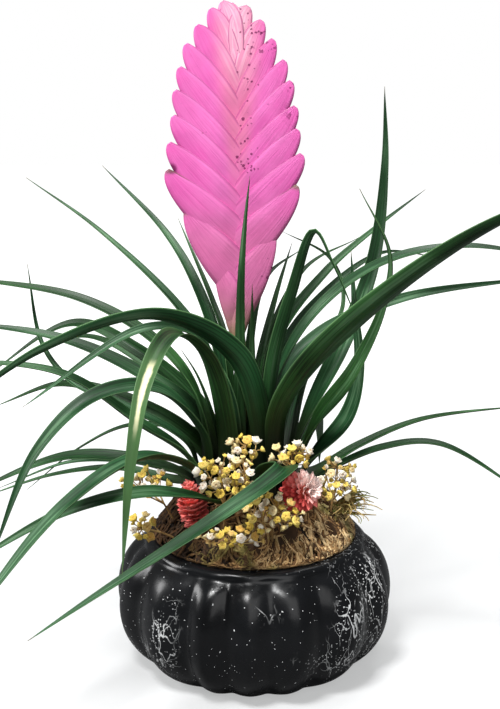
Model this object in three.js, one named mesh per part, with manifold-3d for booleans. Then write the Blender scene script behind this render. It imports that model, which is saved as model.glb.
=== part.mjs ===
// Potted bromeliad: a rosette of narrow channelled leaves around a flat pink
// flower spike, in a squashed ribbed bowl topped with moss and dried flowers.
// Millimetres, +Z up, the origin in the middle of the pot's foot, the front towards -Y.

import * as THREE from 'three';
import { mergeVertices } from 'three/addons/utils/BufferGeometryUtils.js';
import Module from 'manifold-3d';

const wasm = await Module();
wasm.setup();

// Driving dimensions

const GAP = 0.3;

const POT = {
  // radius and height up the outside, from the foot to the lip
  outside: [
    [47, 0], [51.5, 2.2], [59.4, 9.2], [65.4, 20], [67.4, 32], [65.4, 44], [60.2, 53.6], [53.6, 59],
  ],
  lip: [[51.6, 61.8], [47.4, 62.4]],
  inside: [[45.4, 59.5], [60, 38], [52, 8]],
  floor: 5,
  ribDepth: 0.062,
  pointsPerRib: 4,
  // where the grooves between the front ribs stand; the rest are spaced evenly
  frontGrooves: [212, 241, 258, 277, 298, 327],
  backGrooves: 9,
};

const SOIL_TOP = 56;

const STEM = {
  profile: [[17, 48], [21, 62], [23.6, 70], [24, 76.6], [5, 88.4]],
  shoulder: [24, 76.6],
  crown: [5, 88.4],
};

const CROWN = { x: -2, y: 0, firstRing: 6.5, ringStep: 2.5 };

const LEAF = {
  thickness: 0.9,
  tipThickness: 0.7,
  tipWidth: 0.9,
  channel: 0.24,
  sheath: 12,
  footWidth: 8.4,
  footWidthStep: 0.55,
  fullWidthFrom: 0.3,
  // the shares of its length over which a blade turns, then its outer end once more
  turning: [0.05, 0.45],
  endTurning: [0.45, 0.8],
  // a leaf is split where it bends: a bend of one radian counts as this many mm
  stations: 80,
  mmPerSegment: 47,
  mmPerRadian: 60,
};

const SPIKE = {
  axisX: -7.5,
  stalkFoot: [-2, 0, 89.2],
  stalkRadius: 2.6,
  paddleFoot: 160,
  rachisTop: 286,
  // tips of the two rows of bracts, [x, z] from the lowest up
  leftTips: [
    [-13, 170], [-18, 193], [-32, 218], [-40, 236], [-39, 248], [-37, 260],
    [-36, 271], [-34, 281], [-31, 291], [-26, 299], [-20, 306], [-15, 309],
  ],
  rightTips: [
    [0, 183], [10, 207], [20, 229], [22, 243], [20, 254], [19, 264],
    [17, 275], [14, 284], [9, 293], [4, 301], [-2, 307], [-8, 308],
  ],
  bractLength: 46,
  halfThickness: 3.3,
  keel: 0.5,
  // how far each bract's upper edge falls from its tip to the middle line
  drop: [[171, 5], [193, 10], [218, 17], [240, 22], [262, 25], [285, 26], [309, 24]],
};

const MOSS = {
  // radius and height of the heap, from the plant outwards
  top: [[24.8, 73], [28, 78], [34, 78.5], [39.5, 74.5], [43.6, 69], [46.2, 64.8]],
  bottom: [[45.8, 63.1], [44.2, 62.4], [44, 56.4], [24.6, 56.4]],
  columns: 26,
  roughness: 2.2,
  strands: 11,
  // the side it is heaped fuller on, in degrees
  fullest: 290,
};

const TUFT = {
  knot: [40, -9, 77],
  lump: [4.5, 3.5, 2.4],
  straws: 12,
  headings: [-42, 40],
  reach: [12, 23],
  rise: [0, 14],
};

const FLORET = { radius: 2.35, petals: 4, twig: 0.42, stem: 0.65 };

// Colours as the photograph shows them

const MATERIALS = {
  pot: new THREE.MeshStandardMaterial({ color: 0x1c1f23, roughness: 0.42, metalness: 0 }),
  soil: new THREE.MeshStandardMaterial({ color: 0x2a211a, roughness: 1, metalness: 0 }),
  moss: new THREE.MeshStandardMaterial({ color: 0x8a6f45, roughness: 0.95, metalness: 0 }),
  tuft: new THREE.MeshStandardMaterial({ color: 0xa89a5e, roughness: 0.95, metalness: 0 }),
  stem: new THREE.MeshStandardMaterial({ color: 0x4a5a2c, roughness: 0.8, metalness: 0 }),
  leaf: new THREE.MeshStandardMaterial({ color: 0x2f5233, roughness: 0.45, metalness: 0 }),
  bract: new THREE.MeshStandardMaterial({ color: 0xf583c9, roughness: 0.6, metalness: 0 }),
  coral: new THREE.MeshStandardMaterial({ color: 0xf07b78, roughness: 0.85, metalness: 0 }),
  floret: new THREE.MeshStandardMaterial({ color: 0xf1dc7c, roughness: 0.85, metalness: 0 }),
};

// Each leaf: the ring its foot stands in (0 is innermost), the direction of its foot
// around the crown in degrees, its width, how far its blade and once more its outer end
// are turned about the middle line in degrees, then the points the middle line runs
// through, the last one its tip.

const LEAVES = [
  { ring: 1, foot: 240, width: 7.5, course: [
    [-7, -12, 154], [-6, -19, 192], [-4, -22, 217], [-2, -24, 235],
  ] },
  { ring: 0, foot: 352, width: 10, turned: 30, course: [
    [11, 0, 138], [28, -10, 172], [56, -19, 196], [90, -27, 205], [135, -36, 200],
  ] },
  { ring: 0, foot: 82, width: 6, course: [[2, 11, 140], [10, 26, 171], [19, 48, 196]] },
  { ring: 0, foot: 168, width: 6, turned: -24, course: [
    [-14, 13, 154], [-20.5, 28.5, 170.6], [-38, 55, 207],
  ] },

  { ring: 0, foot: 270, width: 5.5, course: [[-1, -7, 135], [-1, -7.5, 156], [-1, -9, 185]] },
  { ring: 1, foot: 316, width: 9, turned: -30, course: [
    [9, -11, 149], [17, -20, 184], [26, -31, 212], [34, -36, 198], [45, -40, 173],
  ] },
  { ring: 1, foot: 25, width: 8.5, turned: 20, course: [
    [10, 17, 150], [35, 38, 182], [62, 59, 202], [89, 80, 219],
  ] },
  { ring: 1, foot: 95, width: 6, course: [[-2, 20, 152], [6, 42, 179], [25, 68, 190]] },
  { ring: 1, foot: 155, width: 9, turned: -20, course: [
    [-18, 15, 150], [-29, 30, 179], [-44, 47, 201], [-77, 70, 232],
  ] },

  { ring: 2, foot: 289, width: 12.5, endTurned: 40, course: [
    [3, -14, 121], [-7, -22, 154], [-41, -43, 177], [-87, -73, 169], [-130, -101, 141],
  ] },
  { ring: 2, foot: 12, width: 9, turned: 45, course: [
    [15, 8, 138], [31, 15, 156], [71, 28, 171], [150, 54, 178],
  ] },
  { ring: 2, foot: 80, width: 5, course: [[6, 24, 148], [24, 44, 182], [55, 80, 194]] },
  { ring: 2, foot: 135, width: 8, course: [
    [-25, 14, 152], [-38, 22, 170], [-77, 48, 202], [-116, 70, 226],
  ] },
  { ring: 2, foot: 240, width: 9, turned: -50, course: [
    [-11, -13, 130], [-17, -9, 147], [-29, -12, 163], [-51, -24, 167], [-101, -44, 137],
  ] },
  { ring: 2, foot: 196, width: 6, course: [[-17, -6, 112], [-26, -13, 143], [-33, -16, 156]] },

  { ring: 3, foot: 313, width: 15, turned: -35, course: [
    [11, -19, 124], [22, -35, 150], [50, -74, 190], [86, -120, 227], [118, -160, 247],
  ] },
  { ring: 3, foot: 357, width: 11.5, turned: 60, course: [
    [26, 1, 120], [41, 7, 151], [56, 15, 190], [61, 19, 236], [60, 20, 272],
  ] },
  { ring: 3, foot: 62, width: 7, turned: 15, course: [
    [14, 24, 146], [34, 42, 170], [65, 64, 188], [97, 86, 183],
  ] },
  { ring: 3, foot: 136, width: 9, turned: -40, course: [
    [-28, 18, 122], [-58, 24, 147], [-90, 42, 156], [-142, 68, 122],
  ] },
  { ring: 3, foot: 197, width: 10.5, turned: -38, course: [
    [-29, -4.5, 135], [-46, 2, 155], [-82, 12, 174], [-150, 27, 183],
  ] },
  { ring: 4, foot: 244, width: 13, turned: -12, course: [
    [-14, -20, 124], [-22, -36, 158], [-34, -61, 173], [-43, -90, 161], [-48, -105, 132], [-52, -110, 88],
  ] },

  { ring: 4, foot: 338, width: 12.5, turned: 60, course: [
    [29, -12, 120], [44, -32, 149], [55, -47, 182], [56, -54, 206], [43, -50, 232],
  ] },
  { ring: 4, foot: 26, width: 5, course: [[25, 20, 132], [44, 34, 168], [38, 48, 188], [14, 52, 201]] },
  { ring: 4, foot: 120, width: 6, turned: -25, course: [
    [-30, 26, 116], [-54, 36, 136], [-86, 57, 146], [-132, 86, 125],
  ] },
  { ring: 4, foot: 167.5, width: 11, turned: -28, course: [
    [-28, 3, 120], [-54, 6, 139], [-92, 11, 155], [-150, 17, 163],
  ] },
  { ring: 4, foot: 206, width: 13, turned: -22, course: [
    [-25, -12, 116], [-44, -23, 139], [-70, -38, 140], [-94, -51, 119], [-114, -63, 74],
  ] },

  { ring: 5, foot: 325, width: 12, turned: 60, course: [
    [26, -7, 99], [44, -8, 122], [49, -10, 146], [46, -8, 176], [44, -3, 199],
  ] },
  { ring: 5, foot: 25, width: 7, course: [[30, 11, 89], [52, 20, 99], [84, 37, 107], [145, 68, 106]] },
  { ring: 4, foot: 76, width: 10, course: [[3, 26, 122], [6, 42, 140], [9, 74, 147], [16, 118, 122]] },
  { ring: 5, foot: 56, width: 11, course: [[15, 27, 104], [21, 46, 122], [24, 76, 120], [26, 112, 92]] },
  { ring: 5, foot: 103, width: 5, course: [[-26, 30, 102], [-62, 42, 103], [-91, 55, 87], [-123, 70, 58]] },
  { ring: 5, foot: 138, width: 12, turned: -15, course: [
    [-31, 13, 105], [-55, 18, 119], [-93, 28, 128], [-132, 42, 113],
  ] },
  { ring: 5, foot: 173, width: 6.5, turned: -20, course: [
    [-32, 0, 107], [-65, 5, 125], [-88, 14, 133], [-103, 22, 150], [-110, 30, 188],
  ] },
  { ring: 5, foot: 205, width: 12, turned: -20, course: [
    [-32, -10, 104], [-53, -14, 120], [-86, -23, 146], [-135, -36, 157],
  ] },

  { ring: 6, foot: 284, width: 12, course: [
    [5, -28, 101], [14, -44, 109], [4, -55, 104], [-31, -84, 90], [-61, -108, 79], [-86, -130, 70],
  ] },
  { ring: 6, foot: 350, width: 7.5, turned: 15, course: [
    [33, -2, 92], [60, -6, 106], [86, -12, 110], [128, -24, 88],
  ] },
  { ring: 6, foot: 82, width: 12, course: [[2, 32, 98], [0, 58, 108], [-6, 92, 93], [-12, 124, 58]] },
  { ring: 6, foot: 44, width: 9, course: [[19, 27, 92], [31, 52, 101], [36, 84, 88], [38, 112, 58]] },
  { ring: 6, foot: 118, width: 5, turned: -15, course: [
    [-35, 20, 86], [-60, 28, 88], [-95, 42, 83], [-135, 56, 64],
  ] },
  { ring: 6, foot: 151, width: 5.5, turned: -15, course: [
    [-37, 9, 85], [-66, 15, 89], [-100, 26, 82], [-140, 36, 66],
  ] },
  { ring: 6, foot: 184, width: 10.5, turned: -25, course: [
    [-31, -2, 90], [-52, -1, 97], [-90, 5, 98], [-145, 12, 75],
  ] },
  { ring: 6, foot: 253, width: 9, turned: -42, course: [
    [-15, -33, 89], [-28, -44, 96], [-50, -54, 101], [-82, -71, 98], [-122, -96, 82],
  ] },
  { ring: 6, foot: 222, width: 14, turned: 8, course: [
    [-27, -22, 100], [-47, -38, 112], [-78, -82, 105], [-118, -134, 65],
  ] },
];

// Dried sprays: where each is rooted, the middle and the half sizes of its clump

const SPRAYS = [
  { root: [-14, -36], middle: [-13, -45, 106], size: [15, 7, 10], florets: 24 },
  { root: [-6, -32], middle: [-4, -34, 116], size: [8, 5, 6], florets: 6 },
  { root: [22, -22], middle: [17, -29, 110], size: [10, 5, 6], florets: 10 },
  { root: [34, -14], middle: [39, -15, 94], size: [10, 8, 11], florets: 16 },
  { root: [8, -38], middle: [8, -48, 90], size: [15, 6, 9], florets: 21 },
  { root: [-33, -16], middle: [-50, -14, 91], size: [13, 9, 7], florets: 13 },
  { root: [-34, -24], middle: [-51, -29, 76], size: [6, 7, 6], florets: 7 },
  { root: [-10, -42], middle: [-10, -50, 79], size: [17, 4, 4], florets: 11 },
];

const BLOOMS = [
  {
    name: 'bloom_right', middle: [22, -38, 96], facing: [0.3, -0.85, 0.42], radius: 10, height: 9,
    root: [17, -30, 70],
  },
  {
    name: 'bloom_left', middle: [-28, -29, 86], facing: [-0.2, 0.05, 0.98], radius: 8, height: 19,
    root: [-25, -27, 68],
  },
];

// Tools shared by all pieces

const vec = (p) => new THREE.Vector3(p[0], p[1], p[2]);
const lerp = THREE.MathUtils.lerp;
const radians = THREE.MathUtils.degToRad;

/** Even draw between 0 and 1 that always runs the same way for a seed. */
function seeded(seed) {
  let state = seed >>> 0;
  return () => {
    state = (Math.imul(state, 1664525) + 1013904223) >>> 0;
    return state / 4294967296;
  };
}

/** Value of a rising table of [key, value] pairs at a key. */
function lookUp(table, key) {
  const last = table.length - 1;
  if (key <= table[0][0]) return table[0][1];
  if (key >= table[last][0]) return table[last][1];
  const i = table.findIndex((pair) => pair[0] >= key);
  const [k0, v0] = table[i - 1];
  const [k1, v1] = table[i];
  return lerp(v0, v1, (key - k0) / (k1 - k0));
}

/**
 * Closed geometry skinned over loops of points that all hold the same count. A loop runs
 * out along one face and back along the other; both faces split their quads the same way.
 */
function skin(loops) {
  const size = loops[0].length;
  const position = loops.flat().flatMap((p) => [p.x, p.y, p.z]);
  const index = [];
  for (let i = 0; i + 1 < loops.length; i += 1) {
    for (let j = 0; j < size; j += 1) {
      const k = (j + 1) % size;
      const a = i * size;
      const b = a + size;
      if (j < size / 2) index.push(a + j, a + k, b + k, a + j, b + k, b + j);
      else index.push(a + j, a + k, b + j, a + k, b + k, b + j);
    }
  }
  const end = (loops.length - 1) * size;
  for (let j = 0; j + 1 < size / 2; j += 1) {
    const k = size - 1 - j;
    index.push(j, k, k - 1, j, k - 1, j + 1);
    index.push(end + j, end + j + 1, end + k - 1, end + j, end + k - 1, end + k);
  }
  const geometry = new THREE.BufferGeometry();
  geometry.setAttribute('position', new THREE.Float32BufferAttribute(position, 3));
  geometry.setIndex(index);
  return geometry;
}

/** Ring-shaped or full body turned about +Z from a closed chain of [radius, height]. */
function turned(chain, columns, shape) {
  const position = [];
  const index = [];
  const n = chain.length;
  for (let c = 0; c < columns; c += 1) {
    chain.forEach((pair, i) => position.push(...shape(c, pair, i)));
  }
  for (let c = 0; c < columns; c += 1) {
    const d = (c + 1) % columns;
    for (let i = 0; i < n; i += 1) {
      const j = (i + 1) % n;
      index.push(c * n + i, d * n + i, d * n + j, c * n + i, d * n + j, c * n + j);
    }
  }
  const geometry = new THREE.BufferGeometry();
  geometry.setAttribute('position', new THREE.Float32BufferAttribute(position, 3));
  geometry.setIndex(index);
  return geometry;
}

/** Solid from a closed geometry, turned right side out. */
function solid(geometry) {
  const bare = geometry.clone();
  bare.deleteAttribute('normal');
  bare.deleteAttribute('uv');
  const merged = mergeVertices(bare, 1e-4);
  const p = merged.getAttribute('position').array;
  const flat = Array.from(merged.index.array);
  const triangles = [];
  let volume = 0;
  const corner = [new THREE.Vector3(), new THREE.Vector3(), new THREE.Vector3()];
  for (let i = 0; i < flat.length; i += 3) {
    const [a, b, c] = flat.slice(i, i + 3);
    if (a === b || b === c || a === c) continue;
    triangles.push(a, b, c);
    [a, b, c].forEach((v, k) => corner[k].fromArray(p, v * 3));
    volume += corner[0].dot(corner[1].clone().cross(corner[2]));
  }
  if (volume < 0) {
    for (let i = 0; i < triangles.length; i += 3) {
      [triangles[i + 1], triangles[i + 2]] = [triangles[i + 2], triangles[i + 1]];
    }
  }
  return new wasm.Manifold(new wasm.Mesh({
    numProp: 3,
    vertProperties: Float32Array.from(p),
    triVerts: Uint32Array.from(triangles),
  }));
}

/** Straight rod between two points, thinner or thicker at its end. */
function rod(from, to, startRadius, endRadius, sides) {
  const a = from.clone();
  const b = to.clone();
  const along = b.clone().sub(a);
  const geometry = new THREE.CylinderGeometry(endRadius, startRadius, along.length(), sides);
  geometry.translate(0, along.length() / 2, 0);
  const upwards = new THREE.Vector3(0, 1, 0);
  const turn = new THREE.Quaternion().setFromUnitVectors(upwards, along.clone().normalize());
  geometry.applyQuaternion(turn);
  geometry.translate(a.x, a.y, a.z);
  return solid(geometry);
}

/** Mesh node for a solid or a closed geometry. */
function node(name, body, material) {
  let geometry = body;
  if (!body.isBufferGeometry) {
    const mesh = body.getMesh();
    const points = [];
    for (let i = 0; i < mesh.vertProperties.length; i += mesh.numProp) {
      points.push(mesh.vertProperties[i], mesh.vertProperties[i + 1], mesh.vertProperties[i + 2]);
    }
    geometry = new THREE.BufferGeometry();
    geometry.setAttribute('position', new THREE.Float32BufferAttribute(points, 3));
    geometry.setIndex(Array.from(mesh.triVerts));
  }
  geometry.computeVertexNormals();
  const made = new THREE.Mesh(geometry, material);
  made.name = name;
  return made;
}

/** Joins many solids into one. */
const fused = (bodies) => bodies.reduce((all, body) => all.add(body));

// Pot

/** Directions of the pot's grooves, in degrees and rising. */
function grooveAngles() {
  const front = POT.frontGrooves;
  const first = front[0] + 360;
  const last = front[front.length - 1];
  const step = (first - last) / (POT.backGrooves + 1);
  const back = Array.from({ length: POT.backGrooves }, (_, i) => last + step * (i + 1));
  return [...front, ...back];
}

/** Directions of the pot's columns with how deep in a groove each lies. */
function potColumns() {
  const grooves = grooveAngles();
  return grooves.flatMap((start, i) => {
    const end = i + 1 < grooves.length ? grooves[i + 1] : grooves[0] + 360;
    return Array.from({ length: POT.pointsPerRib }, (_, k) => {
      const t = k / POT.pointsPerRib;
      return { angle: radians(lerp(start, end, t)), sunk: Math.abs(2 * t - 1) ** 2.6 };
    });
  });
}

function pot() {
  const columns = potColumns();
  const outside = POT.outside.length;
  const chain = [...POT.outside, ...POT.lip, ...POT.inside];
  const ribbed = [0.75, 0.8, 0.9, 1, 1, 1, 0.8, 0.3];
  const loops = chain.map(([radius, height], i) => columns.map(({ angle, sunk }) => {
    const r = radius * (1 - (i < outside ? POT.ribDepth * ribbed[i] * sunk : 0));
    return [r * Math.cos(angle), r * Math.sin(angle), height];
  }));
  const count = columns.length;
  const position = loops.flat(2);
  const index = [];
  for (let i = 0; i + 1 < loops.length; i += 1) {
    for (let j = 0; j < count; j += 1) {
      const k = (j + 1) % count;
      const a = i * count;
      index.push(a + j, a + k, a + count + k, a + j, a + count + k, a + count + j);
    }
  }
  const under = position.length / 3;
  position.push(0, 0, 0, 0, 0, POT.floor);
  const inner = (loops.length - 1) * count;
  for (let j = 0; j < count; j += 1) {
    const k = (j + 1) % count;
    index.push(under, k, j, under + 1, inner + j, inner + k);
  }
  const geometry = new THREE.BufferGeometry();
  geometry.setAttribute('position', new THREE.Float32BufferAttribute(position, 3));
  geometry.setIndex(index);
  return solid(geometry);
}

// Soil, stem and moss

const stemBody = (grow) => {
  const points = STEM.profile.map(([r, z]) => new THREE.Vector2(r + grow, z + (z > 60 ? grow : -grow)));
  const first = points[0];
  const last = points[points.length - 1];
  const closed = [new THREE.Vector2(0, first.y), ...points, new THREE.Vector2(0, last.y + 0.4)];
  const geometry = new THREE.LatheGeometry(closed, 20);
  geometry.rotateX(Math.PI / 2);
  geometry.translate(CROWN.x, CROWN.y, 0);
  return solid(geometry);
};

function soil() {
  const inner = [...POT.inside].reverse();
  const clear = (z) => (z < 30 ? z + GAP : z - GAP);
  const points = inner.filter(([, z]) => z < SOIL_TOP)
    .map(([r, z]) => new THREE.Vector2(r - GAP * 2, clear(z)));
  const closed = [
    new THREE.Vector2(0, points[0].y),
    ...points,
    new THREE.Vector2(46.6, SOIL_TOP),
    new THREE.Vector2(0, SOIL_TOP),
  ];
  const geometry = new THREE.LatheGeometry(closed, 28);
  geometry.rotateX(Math.PI / 2);
  return solid(geometry);
}

/** Rough heap of moss, a ring around the stem that swells out to the lip in front. */
function mossHeap(random) {
  const chain = [...MOSS.top, ...MOSS.bottom];
  const tops = MOSS.top.length;
  return turned(chain, MOSS.columns, (column, [radius, height], i) => {
    const angle = (column / MOSS.columns) * 2 * Math.PI;
    const front = Math.max(0, Math.cos(angle - radians(MOSS.fullest)));
    const rough = i > 0 && i < tops ? MOSS.roughness : 0;
    const outwards = i >= tops - 2 && i <= tops ? front - 1 : 0;
    const r = radius + outwards + rough * 0.6 * (random() - 0.5);
    const z = height + rough * (random() - 0.6) + (i < tops - 1 ? 1.6 * front : 0);
    const share = (radius - MOSS.top[0][0]) / 20;
    const x = CROWN.x * Math.max(0, 1 - share);
    return [x + r * Math.cos(angle), r * Math.sin(angle), z];
  });
}

/** Curled strand lying on the moss, its foot sunk in. */
function strand(random) {
  let angle = random() * 2 * Math.PI;
  let radius = lerp(29, 43, random());
  const turn = (random() < 0.5 ? -1 : 1) * lerp(0.07, 0.11, random());
  const points = [-1.2, 0.7, 1.3, -0.6].map((lift) => {
    const at = new THREE.Vector3(
      radius * Math.cos(angle),
      radius * Math.sin(angle),
      lookUp(MOSS.top, radius) + lift,
    );
    angle += turn;
    radius = Math.min(44.6, radius + (random() - 0.45) * 3);
    return at;
  });
  return tube(points, 0.8, 0.6, 3);
}

/** Bent rod through points, with as many sides as asked. */
function tube(points, startRadius, endRadius, sides) {
  const loops = points.map((p, i) => {
    const before = points[Math.max(0, i - 1)];
    const after = points[Math.min(points.length - 1, i + 1)];
    const along = after.clone().sub(before).normalize();
    const side = new THREE.Vector3(0.31, 0.17, 1).cross(along).normalize();
    const up = along.clone().cross(side);
    const r = lerp(startRadius, endRadius, i / (points.length - 1));
    return Array.from({ length: sides }, (_, k) => {
      const turn = (k / sides) * 2 * Math.PI;
      return p.clone().addScaledVector(side, r * Math.cos(turn)).addScaledVector(up, r * Math.sin(turn));
    });
  });
  return solid(skin(loops));
}

/** Lump the straws of the tuft come out of. */
function tuftKnot(grow) {
  const lump = new THREE.IcosahedronGeometry(1, 0);
  lump.scale(...TUFT.lump.map((size) => size + grow * 1.4));
  lump.translate(...TUFT.knot);
  return solid(lump);
}

/** Dry tuft that leans out over the lip, its straws joined at a knot in the moss. */
function mossTuft(random) {
  const knot = vec(TUFT.knot);
  const bodies = [tuftKnot(0)];
  for (let i = 0; i < TUFT.straws; i += 1) {
    const heading = radians(lerp(...TUFT.headings, random()));
    const reach = lerp(...TUFT.reach, random());
    const rise = lerp(...TUFT.rise, random());
    const points = [0, 0.55, 1].map((t) => new THREE.Vector3(
      knot.x + reach * t * Math.cos(heading) + (random() - 0.5) * 3 * t,
      knot.y + reach * t * Math.sin(heading) + (random() - 0.5) * 3 * t,
      knot.z + rise * (1.8 * t - t * t),
    ));
    bodies.push(tube(points, 0.75, 0.45, 3));
  }
  return fused(bodies);
}

// Leaves

/** Height of the stem's sloping top at a radius. */
function seatHeight(radius) {
  const [r0, z0] = STEM.crown;
  const [r1, z1] = STEM.shoulder;
  return lerp(z0, z1, (radius - r0) / (r1 - r0));
}

/** Fine stations along a leaf: point, direction and face direction. */
function leafStations(leaf) {
  const count = LEAF.stations;
  const radius = CROWN.firstRing + CROWN.ringStep * leaf.ring;
  const angle = radians(leaf.foot);
  const out = new THREE.Vector3(Math.cos(angle), Math.sin(angle), 0);
  const foot = new THREE.Vector3(CROWN.x, CROWN.y, seatHeight(radius) + GAP).addScaledVector(out, radius);
  const first = vec(leaf.course[0]);
  const lean = new THREE.Vector3(0, 0, 1).addScaledVector(out, 0.05 + 0.09 * leaf.ring).normalize();
  const neck = foot.clone().addScaledVector(lean, Math.min(LEAF.sheath, foot.distanceTo(first) * 0.45));
  const curve = new THREE.CatmullRomCurve3([foot, neck, ...leaf.course.map(vec)], false, 'centripetal');
  curve.arcLengthDivisions = 400;
  const stations = [];
  let face = out.clone().negate();
  for (let i = 0; i <= count; i += 1) {
    const s = i / count;
    const point = curve.getPointAt(s);
    const along = curve.getTangentAt(s);
    face.addScaledVector(along, -face.dot(along)).normalize();
    const sky = new THREE.Vector3(0, 0, 1).addScaledVector(along, -along.z);
    face.addScaledVector(sky, 3 / count).addScaledVector(along, -face.dot(along)).normalize();
    const whole = (leaf.turned ?? 0) * THREE.MathUtils.smoothstep(s, ...LEAF.turning);
    const end = (leaf.endTurned ?? 0) * THREE.MathUtils.smoothstep(s, ...LEAF.endTurning);
    stations.push({ s, point, along, face: face.clone().applyAxisAngle(along, radians(whole + end)) });
  }
  return { stations, length: curve.getLength() };
}

/** The few stations a leaf is skinned over, closer together where it bends. */
function leafSections(leaf) {
  const { stations, length } = leafStations(leaf);
  const step = length / LEAF.stations;
  const cost = [0];
  for (let i = 1; i < stations.length; i += 1) {
    cost.push(cost[i - 1] + step + LEAF.mmPerRadian * stations[i].along.angleTo(stations[i - 1].along));
  }
  const total = cost[cost.length - 1];
  const count = Math.max(6, Math.round(total / LEAF.mmPerSegment));
  return Array.from({ length: count + 1 }, (_, k) => {
    const wanted = (k / count) * total;
    return stations[Math.max(0, cost.findIndex((c) => c >= wanted - 1e-6))];
  });
}

/** Width of a leaf at a share of its length: the foot fits its ring, the tip is fine. */
function leafWidth(leaf, s) {
  const foot = Math.min(LEAF.footWidth + LEAF.footWidthStep * leaf.ring, leaf.width * 1.25);
  const grown = THREE.MathUtils.smoothstep(s, 0, LEAF.fullWidthFrom);
  return Math.max(LEAF.tipWidth, lerp(foot, leaf.width, grown) * (1 - s ** 1.5) ** 0.85);
}

/** How far the edges of a leaf stand up from its middle: the foot hugs its ring. */
function leafLift(leaf, s, width) {
  const radius = CROWN.firstRing + CROWN.ringStep * leaf.ring;
  const hugging = (width / 2) ** 2 / (2 * radius);
  return lerp(hugging, width * LEAF.channel, THREE.MathUtils.smoothstep(s, 0, LEAF.fullWidthFrom));
}

/** The point shifted along a direction onto the stem's sloping top, a gap above it. */
function seated(point, along) {
  const at = point.clone();
  for (let i = 0; i < 4; i += 1) {
    const height = seatHeight(Math.hypot(at.x - CROWN.x, at.y - CROWN.y)) + GAP;
    at.addScaledVector(along, (height - at.z) / along.z);
  }
  return at;
}

function leafBody(leaf) {
  const loops = leafSections(leaf).map(({ s, point, along, face }) => {
    const half = leafWidth(leaf, s) / 2;
    const side = along.clone().cross(face);
    const lift = leafLift(leaf, s, 2 * half);
    const t = lerp(LEAF.thickness, LEAF.tipThickness, s);
    const at = (across, height) => {
      const p = point.clone().addScaledVector(side, across).addScaledVector(face, height);
      return s === 0 ? seated(p, along) : p;
    };
    return [at(-half, lift), at(0, 0), at(half, lift), at(half, lift - t), at(0, -t), at(-half, lift - t)];
  });
  return solid(skin(loops));
}

// Flower spike

/** One boat-shaped bract with a rounded tip; side is -1 for the left row, 1 for the right. */
function bract([tipX, tipZ], side) {
  const reach = side * (tipX - SPIKE.axisX);
  const drop = lookUp(SPIKE.drop, tipZ);
  const upright = 1 - THREE.MathUtils.smoothstep(reach, 2, 16);
  const high = THREE.MathUtils.smoothstep(tipZ, 205, 240);
  const longest = drop + reach * 0.7 + lerp(22, 9, high);
  const length = Math.min(SPIKE.bractLength, tipZ - SPIKE.paddleFoot + 4, longest);
  const flat = (u, below) => new THREE.Vector2(u, tipZ - below);
  const outer = new THREE.CubicBezierCurve(
    flat(lerp(1.6, -1.5, high), length),
    flat(Math.max(reach * lerp(0.7, 0.9, high), 4.5), length * lerp(0.66, 0.43, high)),
    flat(reach + lerp(1.2, 3, high), length * lerp(0.24, 0.12, high)),
    flat(reach + 0.1, 0.9),
  );
  const inner = new THREE.CubicBezierCurve(
    flat(-2.6, drop * 0.92 + 4.5),
    flat(reach * 0.24 - 3.5 * upright, drop * lerp(0.54, 0.66, upright)),
    flat(lerp(reach * 0.64, reach - 9.5, upright), drop * lerp(0.14, 0.1, upright)),
    flat(reach - 1.2, 0),
  );
  const thin = lerp(1, 0.72, THREE.MathUtils.smoothstep(tipZ, 240, 309));
  const loops = [0, 0.38, 0.72, 0.92, 1].map((a) => {
    const o = outer.getPoint(a);
    const n = inner.getPoint(a);
    const lip = lerp(SPIKE.halfThickness * thin, 0.6, a ** 0.8);
    const at = (q, y) => new THREE.Vector3(SPIKE.axisX + side * q.x, y, q.y);
    return [at(o, -SPIKE.keel), at(n, -lip), at(n, lip), at(o, SPIKE.keel)];
  });
  return solid(skin(loops));
}

function flowerSpike() {
  const foot = vec(SPIKE.stalkFoot);
  const neck = new THREE.Vector3(SPIKE.axisX, 0, SPIKE.paddleFoot);
  const top = new THREE.Vector3(SPIKE.axisX, 0, SPIKE.rachisTop);
  const bodies = [
    tube([foot, foot.clone().lerp(neck, 0.5).add(new THREE.Vector3(1, 0, 0)), neck, neck.clone().setZ(176)],
      SPIKE.stalkRadius, SPIKE.stalkRadius * 0.85, 8),
    rod(neck, top, 2, 1.1, 6),
  ];
  SPIKE.leftTips.forEach((tip) => bodies.push(bract(tip, -1)));
  SPIKE.rightTips.forEach((tip) => bodies.push(bract(tip, 1)));
  return fused(bodies);
}

// Dried flowers

/** Tapered twig with a pointed foot, then wider loops [distance from its end, radius]. */
function twig(from, to, radius, sides, head) {
  const along = to.clone().sub(from).normalize();
  const side = new THREE.Vector3(0.31, 0.17, 1).cross(along).normalize();
  const up = along.clone().cross(side);
  const loop = (centre, r) => Array.from({ length: sides }, (_, k) => {
    const turn = (k / sides) * 2 * Math.PI;
    return centre.clone().addScaledVector(side, r * Math.cos(turn)).addScaledVector(up, r * Math.sin(turn));
  });
  const loops = [loop(from, 0), loop(from.clone().addScaledVector(along, 1.3), radius)];
  head.forEach(([past, r]) => loops.push(loop(to.clone().addScaledVector(along, past), r)));
  return solid(skin(loops));
}

/** Small cupped floret on its own twig, one body from the fork to the petals. */
const floretBody = ({ at, fork, size }) => twig(fork, at, FLORET.twig, FLORET.petals, [
  [-0.75 * size, FLORET.twig], [0.05 * size, size], [0.5 * size, size * 0.45],
]);

/** Points a spray must keep clear of, each with its reach. */
const obstacles = [];

const isClear = (point, reach) => obstacles.every(({ at, size }) => at.distanceTo(point) > size + reach);

/** Whether a straight twig keeps clear all the way. */
function twigIsClear(from, to, reach) {
  const steps = 6;
  return Array.from({ length: steps }, (_, i) => from.clone().lerp(to, (i + 1) / steps))
    .every((p) => isClear(p, reach));
}

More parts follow.
